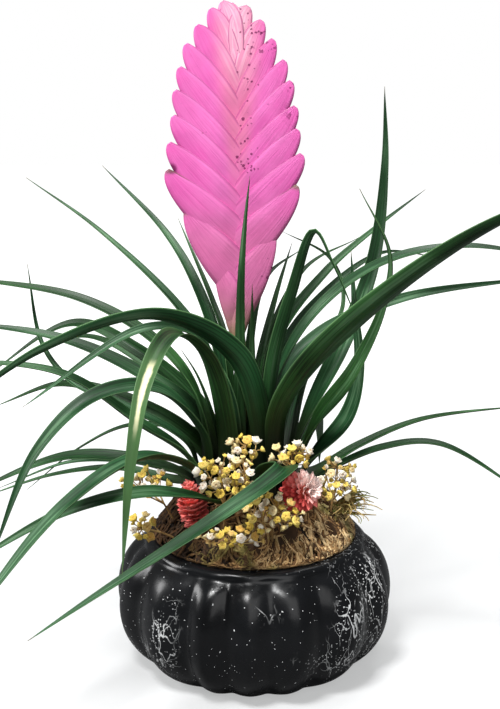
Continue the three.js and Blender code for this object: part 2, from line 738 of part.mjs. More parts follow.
/** Layout of a spray: its stem, forks and florets, drawn so that nothing is crossed. */
function sprayPlan(spray, seed) {
  const random = seeded(seed);
  const root = new THREE.Vector3(spray.root[0], spray.root[1], 66);
  const middle = vec(spray.middle);
  const hub = root.clone().lerp(middle, 0.55).setZ(lerp(root.z, middle.z, 0.62));
  const draw = (fill) => {
    const a = random() * 2 * Math.PI;
    const h = random() * 2 - 1;
    const r = fill * Math.cbrt(random());
    const flat = Math.sqrt(1 - h * h);
    return new THREE.Vector3(
      middle.x + spray.size[0] * r * flat * Math.cos(a),
      middle.y + spray.size[1] * r * flat * Math.sin(a),
      middle.z + spray.size[2] * r * h,
    );
  };
  const forks = [];
  const forkCount = Math.ceil(spray.florets / 5);
  for (let tries = 0; tries < 200 && forks.length < forkCount; tries += 1) {
    const end = draw(0.75).add(new THREE.Vector3(0, 0, -1.5));
    const apart = forks.every((f) => f.end.distanceTo(end) > 3.5);
    if (apart && twigIsClear(hub, end, 0.9)) forks.push({ end, twigs: 0 });
  }
  const florets = [];
  const onFork = (f) => [0.5, 0.75, 1].map((t) => ({ at: hub.clone().lerp(f.end, t), size: 0.6 }));
  const taken = forks.flatMap(onFork);
  const isFree = (p, reach) => taken.every(({ at, size }) => at.distanceTo(p) > size + reach);
  for (let tries = 0; tries < 2500 && florets.length < spray.florets; tries += 1) {
    const at = draw(1);
    const nearest = [...forks].sort((p, q) => p.end.distanceTo(at) - q.end.distanceTo(at));
    const chosen = nearest.find((f) => f.twigs < 6);
    if (!chosen) break;
    const fork = hub.clone().lerp(chosen.end, 0.97 - 0.1 * chosen.twigs);
    const steps = [0.35, 0.55, 0.75].map((t) => fork.clone().lerp(at, t));
    const free = isFree(at, FLORET.radius + 0.25) && steps.every((p) => isFree(p, 0.75));
    if (free && isClear(at, FLORET.radius + 0.5) && twigIsClear(fork, at, 0.8)) {
      const size = FLORET.radius * (0.86 + 0.28 * random());
      florets.push({ at, fork, size });
      taken.push({ at, size });
      steps.forEach((p) => taken.push({ at: p, size: FLORET.twig }));
      chosen.twigs += 1;
    }
  }
  return { root, hub, forks: forks.filter((f) => f.twigs > 0).map((f) => f.end), florets };
}

function sprayBody(plan) {
  const knob = new THREE.OctahedronGeometry(1.2);
  knob.translate(plan.hub.x, plan.hub.y, plan.hub.z);
  const bodies = [rod(plan.root, plan.hub, FLORET.stem, FLORET.stem, 4), solid(knob)];
  plan.forks.forEach((end) => bodies.push(twig(plan.hub, end, FLORET.stem, 3, [[0, FLORET.stem * 0.8]])));
  plan.florets.forEach((flower) => bodies.push(floretBody(flower)));
  return fused(bodies);
}

/** Short stalk from the moss to the back of a bloom. */
function bloomStalk(bloom, grow) {
  const back = vec(bloom.facing).normalize().multiplyScalar(-bloom.height * 0.3);
  const root = vec(bloom.root);
  const calyx = vec(bloom.middle).add(back);
  const low = root.clone().lerp(calyx, -grow / 10);
  return rod(low, calyx, 0.8 + grow * 1.3, 1.3 + grow * 1.3, 5);
}

/** Many-petalled dried bloom built up in layers around its axis. */
function bloomBody(bloom, seed) {
  const random = seeded(seed);
  const layers = [7, 7, 5, 3];
  const core = new THREE.SphereGeometry(1, 6, 3);
  const waist = bloom.radius * 0.5;
  core.rotateX(Math.PI / 2);
  core.scale(waist, waist, bloom.height * 0.42);
  const bodies = [solid(core)];
  layers.forEach((petals, layer) => {
    const t = layer / (layers.length - 1);
    const tilt = radians(lerp(10, 72, t));
    const reach = lerp(bloom.radius, bloom.height * 0.62, t ** 1.4);
    const lift = lerp(-0.24, 0.12, t) * bloom.height;
    for (let i = 0; i < petals; i += 1) {
      const a = ((i + 0.5 * (layer % 2)) / petals) * 2 * Math.PI + (random() - 0.5) * 0.2;
      const out = new THREE.Vector3(Math.cos(a), Math.sin(a), 0);
      const side = new THREE.Vector3(-Math.sin(a), Math.cos(a), 0);
      const along = out.clone().multiplyScalar(Math.cos(tilt)).add(new THREE.Vector3(0, 0, Math.sin(tilt)));
      const face = along.clone().cross(side).negate();
      const width = ((2 * Math.PI) / petals) * bloom.radius * lerp(0.62, 0.3, t);
      const long = reach * (0.92 + 0.16 * random());
      const loops = [[0.24, 0.5], [0.72, 1], [1, 0.55]].map(([u, w]) => {
        const middle = new THREE.Vector3(0, 0, lift).addScaledVector(along, u * long);
        const half = (width * w) / 2;
        const at = (across, up) => middle.clone().addScaledVector(side, across).addScaledVector(face, up);
        return [at(-half, 0.45), at(half, 0.45), at(half, -0.35), at(-half, -0.35)];
      });
      bodies.push(solid(skin(loops)));
    }
  });
  const facing = vec(bloom.facing).normalize();
  const turn = new THREE.Quaternion().setFromUnitVectors(new THREE.Vector3(0, 0, 1), facing);
  const place = new THREE.Matrix4().compose(vec(bloom.middle), turn, new THREE.Vector3(1, 1, 1));
  const body = fused(bodies).transform(place.elements);
  return body.add(bloomStalk(bloom, 0));
}

// The whole plant

const object = new THREE.Group();
object.name = 'potted_bromeliad';

const stemClearance = stemBody(GAP);
const leafBodies = LEAVES.map(leafBody);
LEAVES.forEach((leaf) => {
  leafStations(leaf).stations.forEach(({ s, point, along, face }) => {
    const width = leafWidth(leaf, s);
    const side = along.clone().cross(face);
    [-0.42, -0.14, 0.14, 0.42].forEach((share) => {
      const lift = leafLift(leaf, s, width) * Math.abs(share) * 2 - LEAF.thickness / 2;
      const at = point.clone().addScaledVector(side, share * width).addScaledVector(face, lift);
      if (at.z < 130) obstacles.push({ at, size: Math.max(1.3, width * 0.13) });
    });
  });
});
BLOOMS.forEach((bloom) => {
  const facing = vec(bloom.facing).normalize();
  const reach = Math.max(bloom.radius, bloom.height * 0.6);
  obstacles.push({ at: vec(bloom.middle).addScaledVector(facing, bloom.height * 0.1), size: reach + 0.5 });
  const stalk = vec(bloom.middle).lerp(vec(bloom.root), 0.6);
  obstacles.push({ at: stalk, size: 3 });
});

const plans = [];
SPRAYS.forEach((spray, i) => {
  const plan = sprayPlan(spray, 71 + i);
  plans.push(plan);
  plan.florets.forEach(({ at, fork, size }) => {
    obstacles.push({ at, size });
    [0.25, 0.5, 0.75].forEach((t) => obstacles.push({ at: fork.clone().lerp(at, t), size: FLORET.twig }));
  });
  plan.forks.forEach((fork) => {
    [0, 0.2, 0.4, 0.6, 0.8, 1].forEach((t) => {
      obstacles.push({ at: plan.hub.clone().lerp(fork, t), size: FLORET.stem });
    });
  });
});

const mossRandom = seeded(19);
let moss = fused([
  solid(mossHeap(mossRandom)),
  ...Array.from({ length: MOSS.strands }, () => strand(mossRandom)),
]);
plans.forEach((plan) => {
  const low = plan.root.clone().lerp(plan.hub, -0.1);
  moss = moss.subtract(rod(low, plan.hub.clone(), FLORET.stem + GAP, FLORET.stem + GAP, 6));
});
BLOOMS.forEach((bloom) => {
  moss = moss.subtract(bloomStalk(bloom, GAP));
});
moss = moss.subtract(tuftKnot(GAP));

object.add(node('pot', pot(), MATERIALS.pot));
object.add(node('soil', soil().subtract(stemClearance), MATERIALS.soil));
object.add(node('moss', moss, MATERIALS.moss));
object.add(node('moss_tuft', mossTuft(seeded(8)), MATERIALS.tuft));
object.add(node('plant_stem', stemBody(0), MATERIALS.stem));
leafBodies.forEach((body, i) => {
  object.add(node(`leaf_${String(i + 1).padStart(2, '0')}`, body, MATERIALS.leaf));
});
object.add(node('flower_spike', flowerSpike(), MATERIALS.bract));
BLOOMS.forEach((bloom, i) => object.add(node(bloom.name, bloomBody(bloom, 5 + i), MATERIALS.coral)));
plans.forEach((plan, i) => object.add(node(`spray_${i + 1}`, sprayBody(plan), MATERIALS.floret)));

export default object;
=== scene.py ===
"""Potted bromeliad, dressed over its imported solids.

A rosette of channelled leaves and a flat pink flower spike stand in a squashed
ribbed bowl topped with moss and dried flowers. Sizes in the classes are
millimetres, as in the part's source; they become metres where a mesh is made.
"""

import sys

import logging
import math
from collections.abc import Mapping, Sequence
from dataclasses import dataclass, field
from enum import Enum
from functools import partial, reduce
from typing import Self

import bpy
import numpy as np
from mathutils import Matrix, Vector


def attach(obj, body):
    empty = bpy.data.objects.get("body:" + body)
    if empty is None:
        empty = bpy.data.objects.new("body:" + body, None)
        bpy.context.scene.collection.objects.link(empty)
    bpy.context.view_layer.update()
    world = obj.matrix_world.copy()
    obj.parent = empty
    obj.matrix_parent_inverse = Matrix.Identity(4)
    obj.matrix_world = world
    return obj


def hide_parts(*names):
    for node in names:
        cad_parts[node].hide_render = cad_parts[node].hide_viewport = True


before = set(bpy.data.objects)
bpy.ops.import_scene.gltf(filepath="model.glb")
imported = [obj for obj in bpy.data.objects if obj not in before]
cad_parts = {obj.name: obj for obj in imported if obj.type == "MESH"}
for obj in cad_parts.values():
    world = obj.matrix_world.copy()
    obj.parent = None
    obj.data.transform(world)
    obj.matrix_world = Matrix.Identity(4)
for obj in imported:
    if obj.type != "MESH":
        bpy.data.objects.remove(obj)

MM = 0.001
log = logging.getLogger("bromeliad")

Point = tuple[float, float, float]
Pair = tuple[float, float]
Colour = tuple[float, float, float, float]
Array = np.ndarray
Mesh = bpy.types.Mesh
Material = bpy.types.Material


# Small sums


def shown(red: int, green: int, blue: int) -> Colour:
    """Turns a colour as a screen shows it, 0 to 255, into a linear one.

    Args:
        red: red, 0 to 255.
        green: green, 0 to 255.
        blue: blue, 0 to 255.

    Returns:
        The linear colour with full opacity.
    """
    channels = [c / 255 for c in (red, green, blue)]
    linear = [c / 12.92 if c <= 0.04045 else ((c + 0.055) / 1.055) ** 2.4 for c in channels]
    return (*linear, 1.0)


def smoothstep(value: Array | float, low: float, high: float) -> Array:
    """Rises smoothly from 0 at low to 1 at high."""
    t = np.clip((np.asarray(value, float) - low) / (high - low), 0, 1)
    return t * t * (3 - 2 * t)


def lerp(start: float, end: float, share: float) -> float:
    """Goes from start to end by a share."""
    return start + (end - start) * share


def unit(vector: Array) -> Array:
    """Scales a vector, or each row of vectors, to length one."""
    return vector / np.maximum(np.linalg.norm(vector, axis=-1, keepdims=True), 1e-12)


class Draws:
    """Even draws between 0 and 1 that run the same way for a seed."""

    def __init__(self, seed: int) -> None:
        """Starts the draws from a seed."""
        self.state = seed

    def __call__(self) -> float:
        """Gives the next draw."""
        self.state = (self.state * 1664525 + 1013904223) % 4294967296
        return self.state / 4294967296

    def between(self, low: float, high: float) -> float:
        """Gives the next draw between two values."""
        return lerp(low, high, self())


class SmoothCurve:
    """Centripetal curve through points, walked evenly along its length."""

    def __init__(self, points: Sequence[Sequence[float]], divisions: int = 400) -> None:
        """Measures the curve.

        Args:
            points: the points it runs through.
            divisions: how many short chords its length is measured by.
        """
        self.points = np.array(points, float)
        first = 2 * self.points[0] - self.points[1]
        last = 2 * self.points[-1] - self.points[-2]
        self.padded = np.vstack([first, self.points, last])
        chords = np.linalg.norm(np.diff(self.by_knot(np.linspace(0, 1, divisions + 1)), axis=0), axis=1)
        self.lengths = np.concatenate([[0.0], np.cumsum(chords)])

    def by_knot(self, t: Array) -> Array:
        """Points at shares of the knots.

        Args:
            t: shares between 0 and 1, evenly shared out over the spans between knots.

        Returns:
            One point for each share.
        """
        spans = len(self.points) - 1
        place = np.clip(t, 0, 1) * spans
        i = np.minimum(place.astype(int), spans - 1)
        w = (place - i)[:, None]
        p0, p1, p2, p3 = (self.padded[i + k] for k in range(4))
        d0, d1, d2 = (
            np.sqrt(np.linalg.norm(b - a, axis=1, keepdims=True))
            for a, b in ((p0, p1), (p1, p2), (p2, p3))
        )
        t1 = ((p1 - p0) / d0 - (p2 - p0) / (d0 + d1) + (p2 - p1) / d1) * d1
        t2 = ((p2 - p1) / d1 - (p3 - p1) / (d1 + d2) + (p3 - p2) / d2) * d1
        return p1 + t1 * w + (3 * (p2 - p1) - 2 * t1 - t2) * w**2 + (2 * (p1 - p2) + t1 + t2) * w**3

    def walk(self, shares: Array) -> tuple[Array, Array]:
        """Points and directions at shares of the length.

        Args:
            shares: shares of the length, 0 at the start and 1 at the end.

        Returns:
            The points and the unit directions there.
        """
        knots = np.linspace(0, 1, len(self.lengths))
        t = np.interp(shares * self.lengths[-1], self.lengths, knots)
        near = 1e-4
        ahead, behind = np.clip(t + near, 0, 1), np.clip(t - near, 0, 1)
        return self.by_knot(t), unit(self.by_knot(ahead) - self.by_knot(behind))


# Meshes


def loops_to_faces(rings: int, size: int, closed_ends: bool = True) -> list[tuple[int, ...]]:
    """Faces over rings of points that all hold the same count.

    Args:
        rings: how many rings.
        size: points in each ring.
        closed_ends: whether two pole points follow the rings and close the ends.

    Returns:
        Vertex numbers of each face.
    """
    faces: list[tuple[int, ...]] = []
    for i in range(rings - 1):
        for j in range(size):
            k = (j + 1) % size
            faces.append((i * size + j, i * size + k, (i + 1) * size + k, (i + 1) * size + j))
    if closed_ends:
        low, high = rings * size, rings * size + 1
        last = (rings - 1) * size
        for j in range(size):
            k = (j + 1) % size
            faces.append((low, k, j))
            faces.append((high, last + j, last + k))
    return faces


def outward(points: Array, faces: list[tuple[int, ...]]) -> list[tuple[int, ...]]:
    """Turns the faces of a closed shape over if they point inwards.

    Args:
        points: the corners.
        faces: vertex numbers of each face.

    Returns:
        The faces, pointing outwards.
    """
    volume = 0.0
    for face in faces:
        a = points[face[0]]
        for b, c in zip(face[1:-1], face[2:]):
            volume += float(np.dot(a, np.cross(points[b], points[c])))
    return faces if volume > 0 else [tuple(reversed(face)) for face in faces]


def make_mesh(
    name: str,
    points: Array,
    faces: Sequence[Sequence[int]] = (),
    edges: Sequence[tuple[int, int]] = (),
    values: dict[str, Array] | None = None,
) -> Mesh:
    """Makes a mesh from points in millimetres, with values stored on its points.

    Args:
        name: the mesh's name.
        points: one row of x, y and z for each point.
        faces: vertex numbers of each face.
        edges: vertex numbers of loose edges.
        values: named numbers or vectors, one for each point.

    Returns:
        The mesh, in metres and shaded smooth.
    """
    mesh = bpy.data.meshes.new(name)
    mesh.from_pydata((np.asarray(points, float) * MM).tolist(), list(edges), list(faces))
    for key, value in (values or {}).items():
        value = np.asarray(value, np.float32)
        kind, slot = ("FLOAT", "value") if value.ndim == 1 else ("FLOAT_VECTOR", "vector")
        mesh.attributes.new(key, kind, "POINT").data.foreach_set(slot, value.ravel())
    if faces:
        mesh.polygons.foreach_set("use_smooth", [True] * len(mesh.polygons))
    mesh.update()
    return mesh


def joined_rings(shapes: Sequence[tuple[Array, dict[str, Array]]]) -> tuple:
    """Joins several closed shapes, each a stack of rings, into one set of faces.

    Args:
        shapes: for each shape its rings, as an array of ring, point and axis, and its
            values, one number for each point of each ring.

    Returns:
        The points, the faces and the joined values.
    """
    points: list[Array] = []
    faces: list[tuple[int, ...]] = []
    values: dict[str, list[Array]] = {}
    start = 0
    for rings, given in shapes:
        count, size = rings.shape[:2]
        body = np.vstack([rings.reshape(-1, 3), rings[0].mean(0), rings[-1].mean(0)])
        own = outward(body, loops_to_faces(count, size))
        faces += [tuple(start + v for v in face) for face in own]
        points.append(body)
        for key, value in given.items():
            flat = np.concatenate([value.reshape(-1), [value[0].mean(), value[-1].mean()]])
            values.setdefault(key, []).append(flat)
        start += len(body)
    return np.vstack(points), faces, {key: np.concatenate(value) for key, value in values.items()}


def finish_piece(
    name: str,
    mesh: Mesh,
    materials: Sequence[Material],
    nodes: Sequence[str],
) -> bpy.types.Object:
    """Puts a finished mesh in the scene in place of its solids.

    Args:
        name: the piece's name.
        mesh: its mesh, already in place.
        materials: its materials in the order of its faces' numbers, or none if set.
        nodes: the solids it stands for.

    Returns:
        The piece.
    """
    if materials:
        mesh.materials.clear()
        for material in materials:
            mesh.materials.append(material)
    piece = bpy.data.objects.new(name, mesh)
    bpy.context.scene.collection.objects.link(piece)
    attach(piece, "root")
    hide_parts(*nodes)
    triangles = sum(len(face.vertices) - 2 for face in mesh.polygons)
    log.info("%s: %d triangles, for %s", name, triangles, ", ".join(nodes))
    return piece


# Node trees

Socket = bpy.types.NodeSocket
Tree = bpy.types.NodeTree
Step = tuple[float, ...]
Outputs = Mapping[str, Socket]

GEOMETRY, MATERIAL, WHOLE = "NodeSocketGeometry", "NodeSocketMaterial", "NodeSocketInt"
FLOAT, VECTOR, COLOUR = "NodeSocketFloat", "NodeSocketVector", "NodeSocketColor"
EVEN = (0.5, 0.5, 0.5)
LEVEL = (1.0, 1.0, 0.0)


class Wiring:
    """Adds nodes to one tree and joins their sockets."""

    tree_kind = "ShaderNodeTree"

    def __init__(self, tree: Tree) -> None:
        """Keeps the tree that the nodes go into."""
        self.tree = tree

    @classmethod
    def new_group(cls, name: str, inputs: Sequence[tuple], outputs: Sequence[tuple]) -> Self:
        """Starts a group tree with named inputs and outputs.

        Args:
            name: the tree's name.
            inputs: name, socket type and, where it has one, the usual value of each input.
            outputs: name and socket type of each output.

        Returns:
            The wiring of the new tree.
        """
        tree = bpy.data.node_groups.new(name, cls.tree_kind)
        for label, socket, *usual in inputs:
            made = tree.interface.new_socket(name=label, in_out="INPUT", socket_type=socket)
            if usual:
                made.default_value = usual[0]
        for label, socket in outputs:
            tree.interface.new_socket(name=label, in_out="OUTPUT", socket_type=socket)
        return cls(tree)

    def given(self) -> Outputs:
        """Gives what a group is given."""
        return self.node("NodeGroupInput").outputs

    def done(self, *results: Socket) -> Tree:
        """Ends a group with its results and gives its tree."""
        self.node("NodeGroupOutput", *results)
        return self.tree

    def fill(self, socket: Socket, value: object) -> None:
        """Gives an input an output or a constant; None leaves it alone."""
        if isinstance(value, Socket):
            self.tree.links.new(value, socket)
        elif value is not None:
            socket.default_value = value

    def node(self, kind: str, *values: object, at: dict | None = None, **settings: object) -> bpy.types.Node:
        """Adds a node.

        Args:
            kind: the node's type name.
            values: what its inputs get in order.
            at: what named or numbered inputs get.
            settings: the node's own settings.

        Returns:
            The node.
        """
        node = self.tree.nodes.new(kind)
        for key, value in settings.items():
            setattr(node, key, value)
        for socket, value in zip(node.inputs, values):
            self.fill(socket, value)
        for key, value in (at or {}).items():
            self.fill(node.inputs[key], value)
        return node

    def put(self, kind: str, *values: object, out: int | str = 0, **settings: object) -> Socket:
        """Adds a node and gives one of its outputs; `at` fills named inputs."""
        return self.node(kind, *values, **settings).outputs[out]

    def math(self, operation: str, *values: object) -> Socket:
        """Adds a sum on numbers."""
        return self.put("ShaderNodeMath", *values, operation=operation)

    def times(self, first: object, *others: object) -> Socket:
        """Multiplies numbers."""
        return reduce(partial(self.math, "MULTIPLY"), others, first)

    def plus(self, first: object, *others: object) -> Socket:
        """Adds numbers up."""
        return reduce(partial(self.math, "ADD"), others, first)

    def less(self, first: object, second: object) -> Socket:
        """Takes the second number from the first."""
        return self.math("SUBTRACT", first, second)

    def over(self, first: object, second: object) -> Socket:
        """Divides the first number by the second."""
        return self.math("DIVIDE", first, second)

    def larger(self, first: object, *others: object) -> Socket:
        """Picks the largest number."""
        return reduce(partial(self.math, "MAXIMUM"), others, first)

    def smaller(self, first: object, second: object) -> Socket:
        """Picks the smaller number."""
        return self.math("MINIMUM", first, second)

    def size(self, value: object) -> Socket:
        """Drops a number's sign."""
        return self.math("ABSOLUTE", value)

    def vector(self, operation: str, *values: object) -> Socket:
        """Adds a sum on vectors."""
        return self.put("ShaderNodeVectorMath", *values, operation=operation)

    def scaled(self, vector: object, by: object) -> Socket:
        """Multiplies a vector by a number."""
        return self.put("ShaderNodeVectorMath", vector, operation="SCALE", at={"Scale": by})

    def length(self, vector: object) -> Socket:
        """Measures a vector."""
        return self.put("ShaderNodeVectorMath", vector, operation="LENGTH", out="Value")

    def axes(self, vector: object) -> Outputs:
        """Takes a vector apart into its X, Y and Z."""
        return self.node("ShaderNodeSeparateXYZ", vector).outputs

    def rise(self, value: object, low: float, high: float, start: float = 0.0, end: float = 1.0) -> Socket:
        """Adds a smooth step from start, where the value is low, to end, where it is high."""
        return self.put(
            "ShaderNodeMapRange", value, low, high, start, end, interpolation_type="SMOOTHSTEP", clamp=True
        )

    def noise(
        self, place: object, scale: object, detail: float = 2.0, out: int | str = 0, roughness: float = 0.5
    ) -> Socket:
        """Adds noise read at a place: a number, or with Color as its output three of them."""
        at = {"Vector": place, "Scale": scale, "Detail": detail, "Roughness": roughness}
        return self.put("ShaderNodeTexNoise", at=at, out=out)

    def wander(self, place: object, scale: object, detail: float, by: object) -> Socket:
        """Moves places about by noise of a scale and detail."""
        shift = self.vector("SUBTRACT", self.noise(place, scale, detail, "Color"), EVEN)
        return self.vector("ADD", place, self.scaled(shift, by))

    def mix(self, share: object, first: object, second: object) -> Socket:
        """Mixes two colours by the share of the second."""
        return self.put("ShaderNodeMix", at={0: share, 6: first, 7: second}, out=2, data_type="RGBA")

    def layered(self, colour: object, *layers: tuple[object, object]) -> Socket:
        """Lays colours over one another; each layer is its share and its colour."""
        for share, shade in layers:
            colour = self.mix(share, colour, shade)
        return colour

    def ramp(self, value: object, stops: Sequence[tuple[float, Colour]]) -> Socket:
        """Adds a colour ramp.

        Args:
            value: where on the ramp.
            stops: places and colours, rising.

        Returns:
            The colour.
        """
        node = self.node("ShaderNodeValToRGB", value)
        elements = node.color_ramp.elements
        while len(elements) < len(stops):
            elements.new(0.5)
        for element, (place, colour) in zip(elements, stops):
            element.position = place
            element.color = colour
        return node.outputs["Color"]


class SurfaceGroups:
    """Shader effects that several finishes share, each built once."""

    def __init__(self) -> None:
        """Builds the groups."""
        self.drift = self._drift()
        self.strands = self._strands()
        self.specks = self._specks()

    @staticmethod
    def _drift() -> Tree:
        """Slow change of a colour's brightness over a surface."""
        wiring = Wiring.new_group(
            "tone_drift",
            [("Vector", VECTOR), ("Colour", COLOUR), ("Scale", FLOAT, 60.0), ("Amount", FLOAT, 0.3)],
            [("Colour", COLOUR), ("Value", FLOAT)],
        )
        given = wiring.given()
        noise = wiring.noise(given["Vector"], given["Scale"], 4.0)
        spread = wiring.times(wiring.less(noise, 0.5), given["Amount"], 3.0)
        return wiring.done(wiring.scaled(given["Colour"], wiring.plus(spread, 1.0)), noise)

    @staticmethod
    def _strands() -> Tree:
        """Fine lines that run along a blade, bract or petal."""
        wiring = Wiring.new_group(
            "lengthwise_strands",
            [
                ("Across", FLOAT), ("Along", FLOAT), ("Seed", FLOAT),
                ("Lines", FLOAT, 14.0), ("Breaks", FLOAT, 2.0),
            ],
            [("Value", FLOAT)],
        )
        given = wiring.given()
        across = wiring.times(given["Across"], given["Lines"])
        along = wiring.times(given["Along"], given["Breaks"])
        place = wiring.put("ShaderNodeCombineXYZ", across, along, wiring.times(given["Seed"], 37.0))
        return wiring.done(wiring.rise(wiring.noise(place, 1.0, roughness=0.6), 0.3, 0.7))

    @staticmethod
    def _specks() -> Tree:
        """Scattered small spots."""
        wiring = Wiring.new_group(
            "scattered_specks",
            [("Vector", VECTOR), ("Scale", FLOAT, 400.0), ("Radius", FLOAT, 0.2), ("Share", FLOAT, 0.3)],
            [("Mask", FLOAT)],
        )
        given = wiring.given()
        place = wiring.wander(given["Vector"], given["Scale"], 2.0, wiring.over(0.5, given["Scale"]))
        cells = wiring.node("ShaderNodeTexVoronoi", at={"Vector": place, "Scale": given["Scale"]}).outputs
        near = wiring.math("LESS_THAN", cells["Distance"], given["Radius"])
        drawn = wiring.put("ShaderNodeSeparateColor", cells["Color"])
        return wiring.done(wiring.times(near, wiring.math("LESS_THAN", drawn, given["Share"])))


class Paint(Wiring):
    """Wiring of one material, with its shader and the shared effects."""

    def __init__(self, material: Material, groups: SurfaceGroups) -> None:
        """Empties the material and puts the shader in it.

        Args:
            material: the material.
            groups: the shared effects.
        """
        material.use_nodes = True
        material.node_tree.nodes.clear()
        super().__init__(material.node_tree)
        self.groups = groups
        self.shader = self.node("ShaderNodeBsdfPrincipled")
        self.node("ShaderNodeOutputMaterial", self.shader.outputs[0])
        self.place = self.put("ShaderNodeTexCoord", out="Object")

    def stored(self, name: str) -> Socket:
        """Reads a value stored on the piece's points."""
        return self.put("ShaderNodeAttribute", attribute_name=name, out="Fac")

    def use(self, group: Tree, **values: object) -> Outputs:
        """Places a shared effect and gives its outputs."""
        return self.node("ShaderNodeGroup", node_tree=group, at=values).outputs

    def strands(self, across: Socket, along: Socket, seed: Socket, lines: float, breaks: float) -> Socket:
        """Places fine lengthwise lines; the seed tells one piece from another."""
        given = {"Across": across, "Along": along, "Seed": seed, "Lines": lines, "Breaks": breaks}
        return self.use(self.groups.strands, **given)["Value"]

    def specks(self, scale: float, radius: float, share: float) -> Socket:
        """Places small spots in cells of a scale, of a radius and in a share of the cells."""
        given = {"Vector": self.place, "Scale": scale, "Radius": radius, "Share": share}
        return self.use(self.groups.specks, **given)["Mask"]

    def drift(self, colour: object, scale: float, amount: float) -> Outputs:
        """Lets a colour's brightness change slowly; gives Colour and Value."""
        return self.use(self.groups.drift, Vector=self.place, Colour=colour, Scale=scale, Amount=amount)

    def feed(self, **values: object) -> None:
        """Gives the shader's sockets, named with underscores for spaces, their outputs or constants."""
        for key, value in values.items():
            self.fill(self.shader.inputs[key.replace("_", " ")], value)

    def bump(self, height: object, depth: float, strength: float) -> None:
        """Gives the shader a relief of a depth in millimetres."""
        at = {"Height": height, "Strength": strength, "Distance": depth * MM}
        self.feed(Normal=self.put("ShaderNodeBump", at=at))


class Finish:
    """Base of the finishes: makes the material.

    A step holds where it starts and ends and, unless they are 0 and 1, its results on
    both sides. Places are in metres here, as materials read them. Lines hold how many
    there are and how often they break, and specks their scale, radius and share.
    """

    name = "finish"

    def build(self, groups: SurfaceGroups) -> Material:
        """Makes the material.

        Args:
            groups: the shared effects.

        Returns:
            The material.
        """
        material = bpy.data.materials.new(self.name)
        self.dress(Paint(material, groups))
        return material

    def dress(self, paint: Paint) -> None:
        """Wires the finish into the shader; each finish has its own."""
        raise NotImplementedError


class Shoots(Wiring):
    """Wiring of a geometry tree, which reads and stores values on points."""

    tree_kind = "GeometryNodeTree"

    def told(self, name: str, kind: str = "FLOAT") -> Socket:
        """Reads a value stored on the geometry's points."""
        return self.put("GeometryNodeInputNamedAttribute", name, data_type=kind)

    def keep(
        self, geometry: object, name: str, value: object, kind: str = "FLOAT", domain: str = "POINT"
    ) -> Socket:
        """Stores a value on the geometry and gives the geometry with it."""
        settings = {"data_type": kind, "domain": domain}
        return self.put("GeometryNodeStoreNamedAttribute", geometry, None, name, value, **settings)

    def circle(self, sides: object, radius: object) -> Socket:
        """Adds the round outline of a stalk or fibre."""
        return self.put("GeometryNodeCurvePrimitiveCircle", at={0: sides, 4: radius}, mode="RADIUS")

    def joined(self, *parts: Socket) -> Socket:
        """Joins parts and makes their copies real."""
        both = self.node("GeometryNodeJoinGeometry")
        for part in parts:
            self.tree.links.new(part, both.inputs[0])
        return self.put("GeometryNodeRealizeInstances", both.outputs[0])


